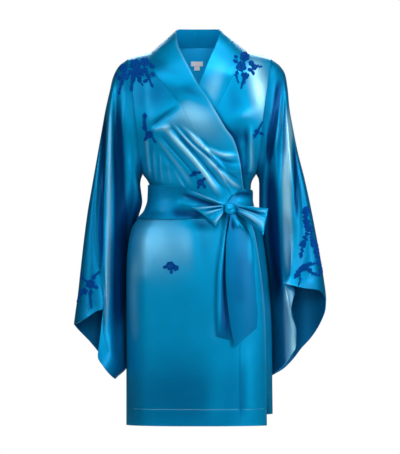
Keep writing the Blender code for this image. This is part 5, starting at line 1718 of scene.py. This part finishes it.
def area_light(name, place, target, wide, high, power, glossy):
    """A soft box at a place, turned to a target."""
    light = bpy.data.lights.new(name, "AREA")
    light.shape = "RECTANGLE"
    light.size, light.size_y = wide, high
    light.energy = power
    lamp = bpy.data.objects.new(name, light)
    lamp.location = place
    lamp.rotation_euler = (Vector(target) - Vector(place)).to_track_quat("-Z", "Y").to_euler()
    lamp.visible_glossy = glossy
    lamp.visible_camera = False
    bpy.context.scene.collection.objects.link(lamp)


class ROBE_OT_studio(bpy.types.Operator):
    """Sets the camera, the soft lights, the pale floor and the white surroundings"""

    bl_idname = "robe.studio"
    bl_label = "Studio"

    def execute(self, context):
        studio = context.scene.studio_settings
        camera = bpy.data.cameras.new("Camera")
        camera.sensor_width = SENSOR
        high = FRAME_HIGH * PIXEL / 1000
        camera.lens = SENSOR * studio.distance / high
        stand = bpy.data.objects.new("Camera", camera)
        across = (FRAME_WIDE / 2 - FRAME_LEFT) * PIXEL / 1000
        drop = (FRAME_TOP - FRAME_HIGH / 2) * PIXEL / 1000
        stand.location = (across, -studio.distance, drop)
        stand.rotation_euler = (math.pi / 2, 0, 0)
        context.scene.collection.objects.link(stand)
        context.scene.camera = stand
        for light in LIGHTS:
            area_light(*light)
        world = bpy.data.worlds.new("Studio")
        world.use_nodes = True
        tree = world.node_tree
        background = tree.nodes["Background"]
        fill(background, {"Color": (1, 1, 1, 1)})
        path = node(tree, "ShaderNodeLightPath")
        seen = node(tree, "ShaderNodeMapRange", {"To Min": WORLD_LIGHT, "To Max": 1.0})
        tree.links.new(path.outputs["Is Camera Ray"], seen.inputs["Value"])
        tree.links.new(seen.outputs["Result"], background.inputs["Strength"])
        context.scene.world = world
        context.scene.view_settings.view_transform = "Standard"
        deselect()
        bpy.ops.mesh.primitive_circle_add(
            vertices=96, radius=FLOOR_RADIUS, fill_type="NGON", location=(0, 0, studio.floor)
        )
        floor = context.active_object
        floor.name = "floor"
        bpy.ops.object.transform_apply(location=True, rotation=True, scale=True)
        paper = bpy.data.materials.new("Paper floor")
        paper.use_nodes = True
        shader = paper.node_tree.nodes["Principled BSDF"]
        grain = node(paper.node_tree, "ShaderNodeTexNoise", {"Scale": 60.0})
        tint = node(paper.node_tree, "ShaderNodeMapRange", {"To Min": 0.86, "To Max": 0.9})
        paper.node_tree.links.new(grain.outputs["Fac"], tint.inputs["Value"])
        paper.node_tree.links.new(tint.outputs["Result"], shader.inputs["Base Color"])
        fill(shader, {"Roughness": 0.8})
        floor.data.materials.append(paper)
        return {"FINISHED"}


class ROBE_PT_panel(bpy.types.Panel):
    """The robe's sizes, colours and pieces"""

    bl_label = "Short kimono robe"
    bl_idname = "ROBE_PT_panel"
    bl_space_type = "VIEW_3D"
    bl_region_type = "UI"
    bl_category = "Robe"

    def draw(self, context):
        column = self.layout.column()
        for group in GROUPS:
            settings = getattr(context.scene, group)
            for name in settings.__annotations__:
                column.prop(settings, name)
        for step in STEPS:
            column.operator(step.bl_idname)


GROUPS = {"robe_sizes": RobeSizes, "robe_colours": RobeColours, "studio_settings": StudioSettings}
STEPS = (
    ROBE_OT_fronts,
    ROBE_OT_back,
    ROBE_OT_collar,
    ROBE_OT_sleeves,
    ROBE_OT_sash,
    ROBE_OT_lace,
    ROBE_OT_labels,
    ROBE_OT_stitches,
    ROBE_OT_cuts,
    ROBE_OT_studio,
)


def register():
    """Adds the classes and the scene's settings to Blender."""
    for made in (*GROUPS.values(), *STEPS, ROBE_PT_panel):
        bpy.utils.register_class(made)
    for name, made in GROUPS.items():
        setattr(bpy.types.Scene, name, bpy.props.PointerProperty(type=made))


def unregister():
    """Takes them out again."""
    for name in GROUPS:
        delattr(bpy.types.Scene, name)
    for made in reversed((*GROUPS.values(), *STEPS, ROBE_PT_panel)):
        bpy.utils.unregister_class(made)


def main():
    """Makes the robe step by step."""
    register()
    for step in STEPS:
        group, name = step.bl_idname.split(".")
        getattr(getattr(bpy.ops, group), name)()


if __name__ == "__main__":
    main()
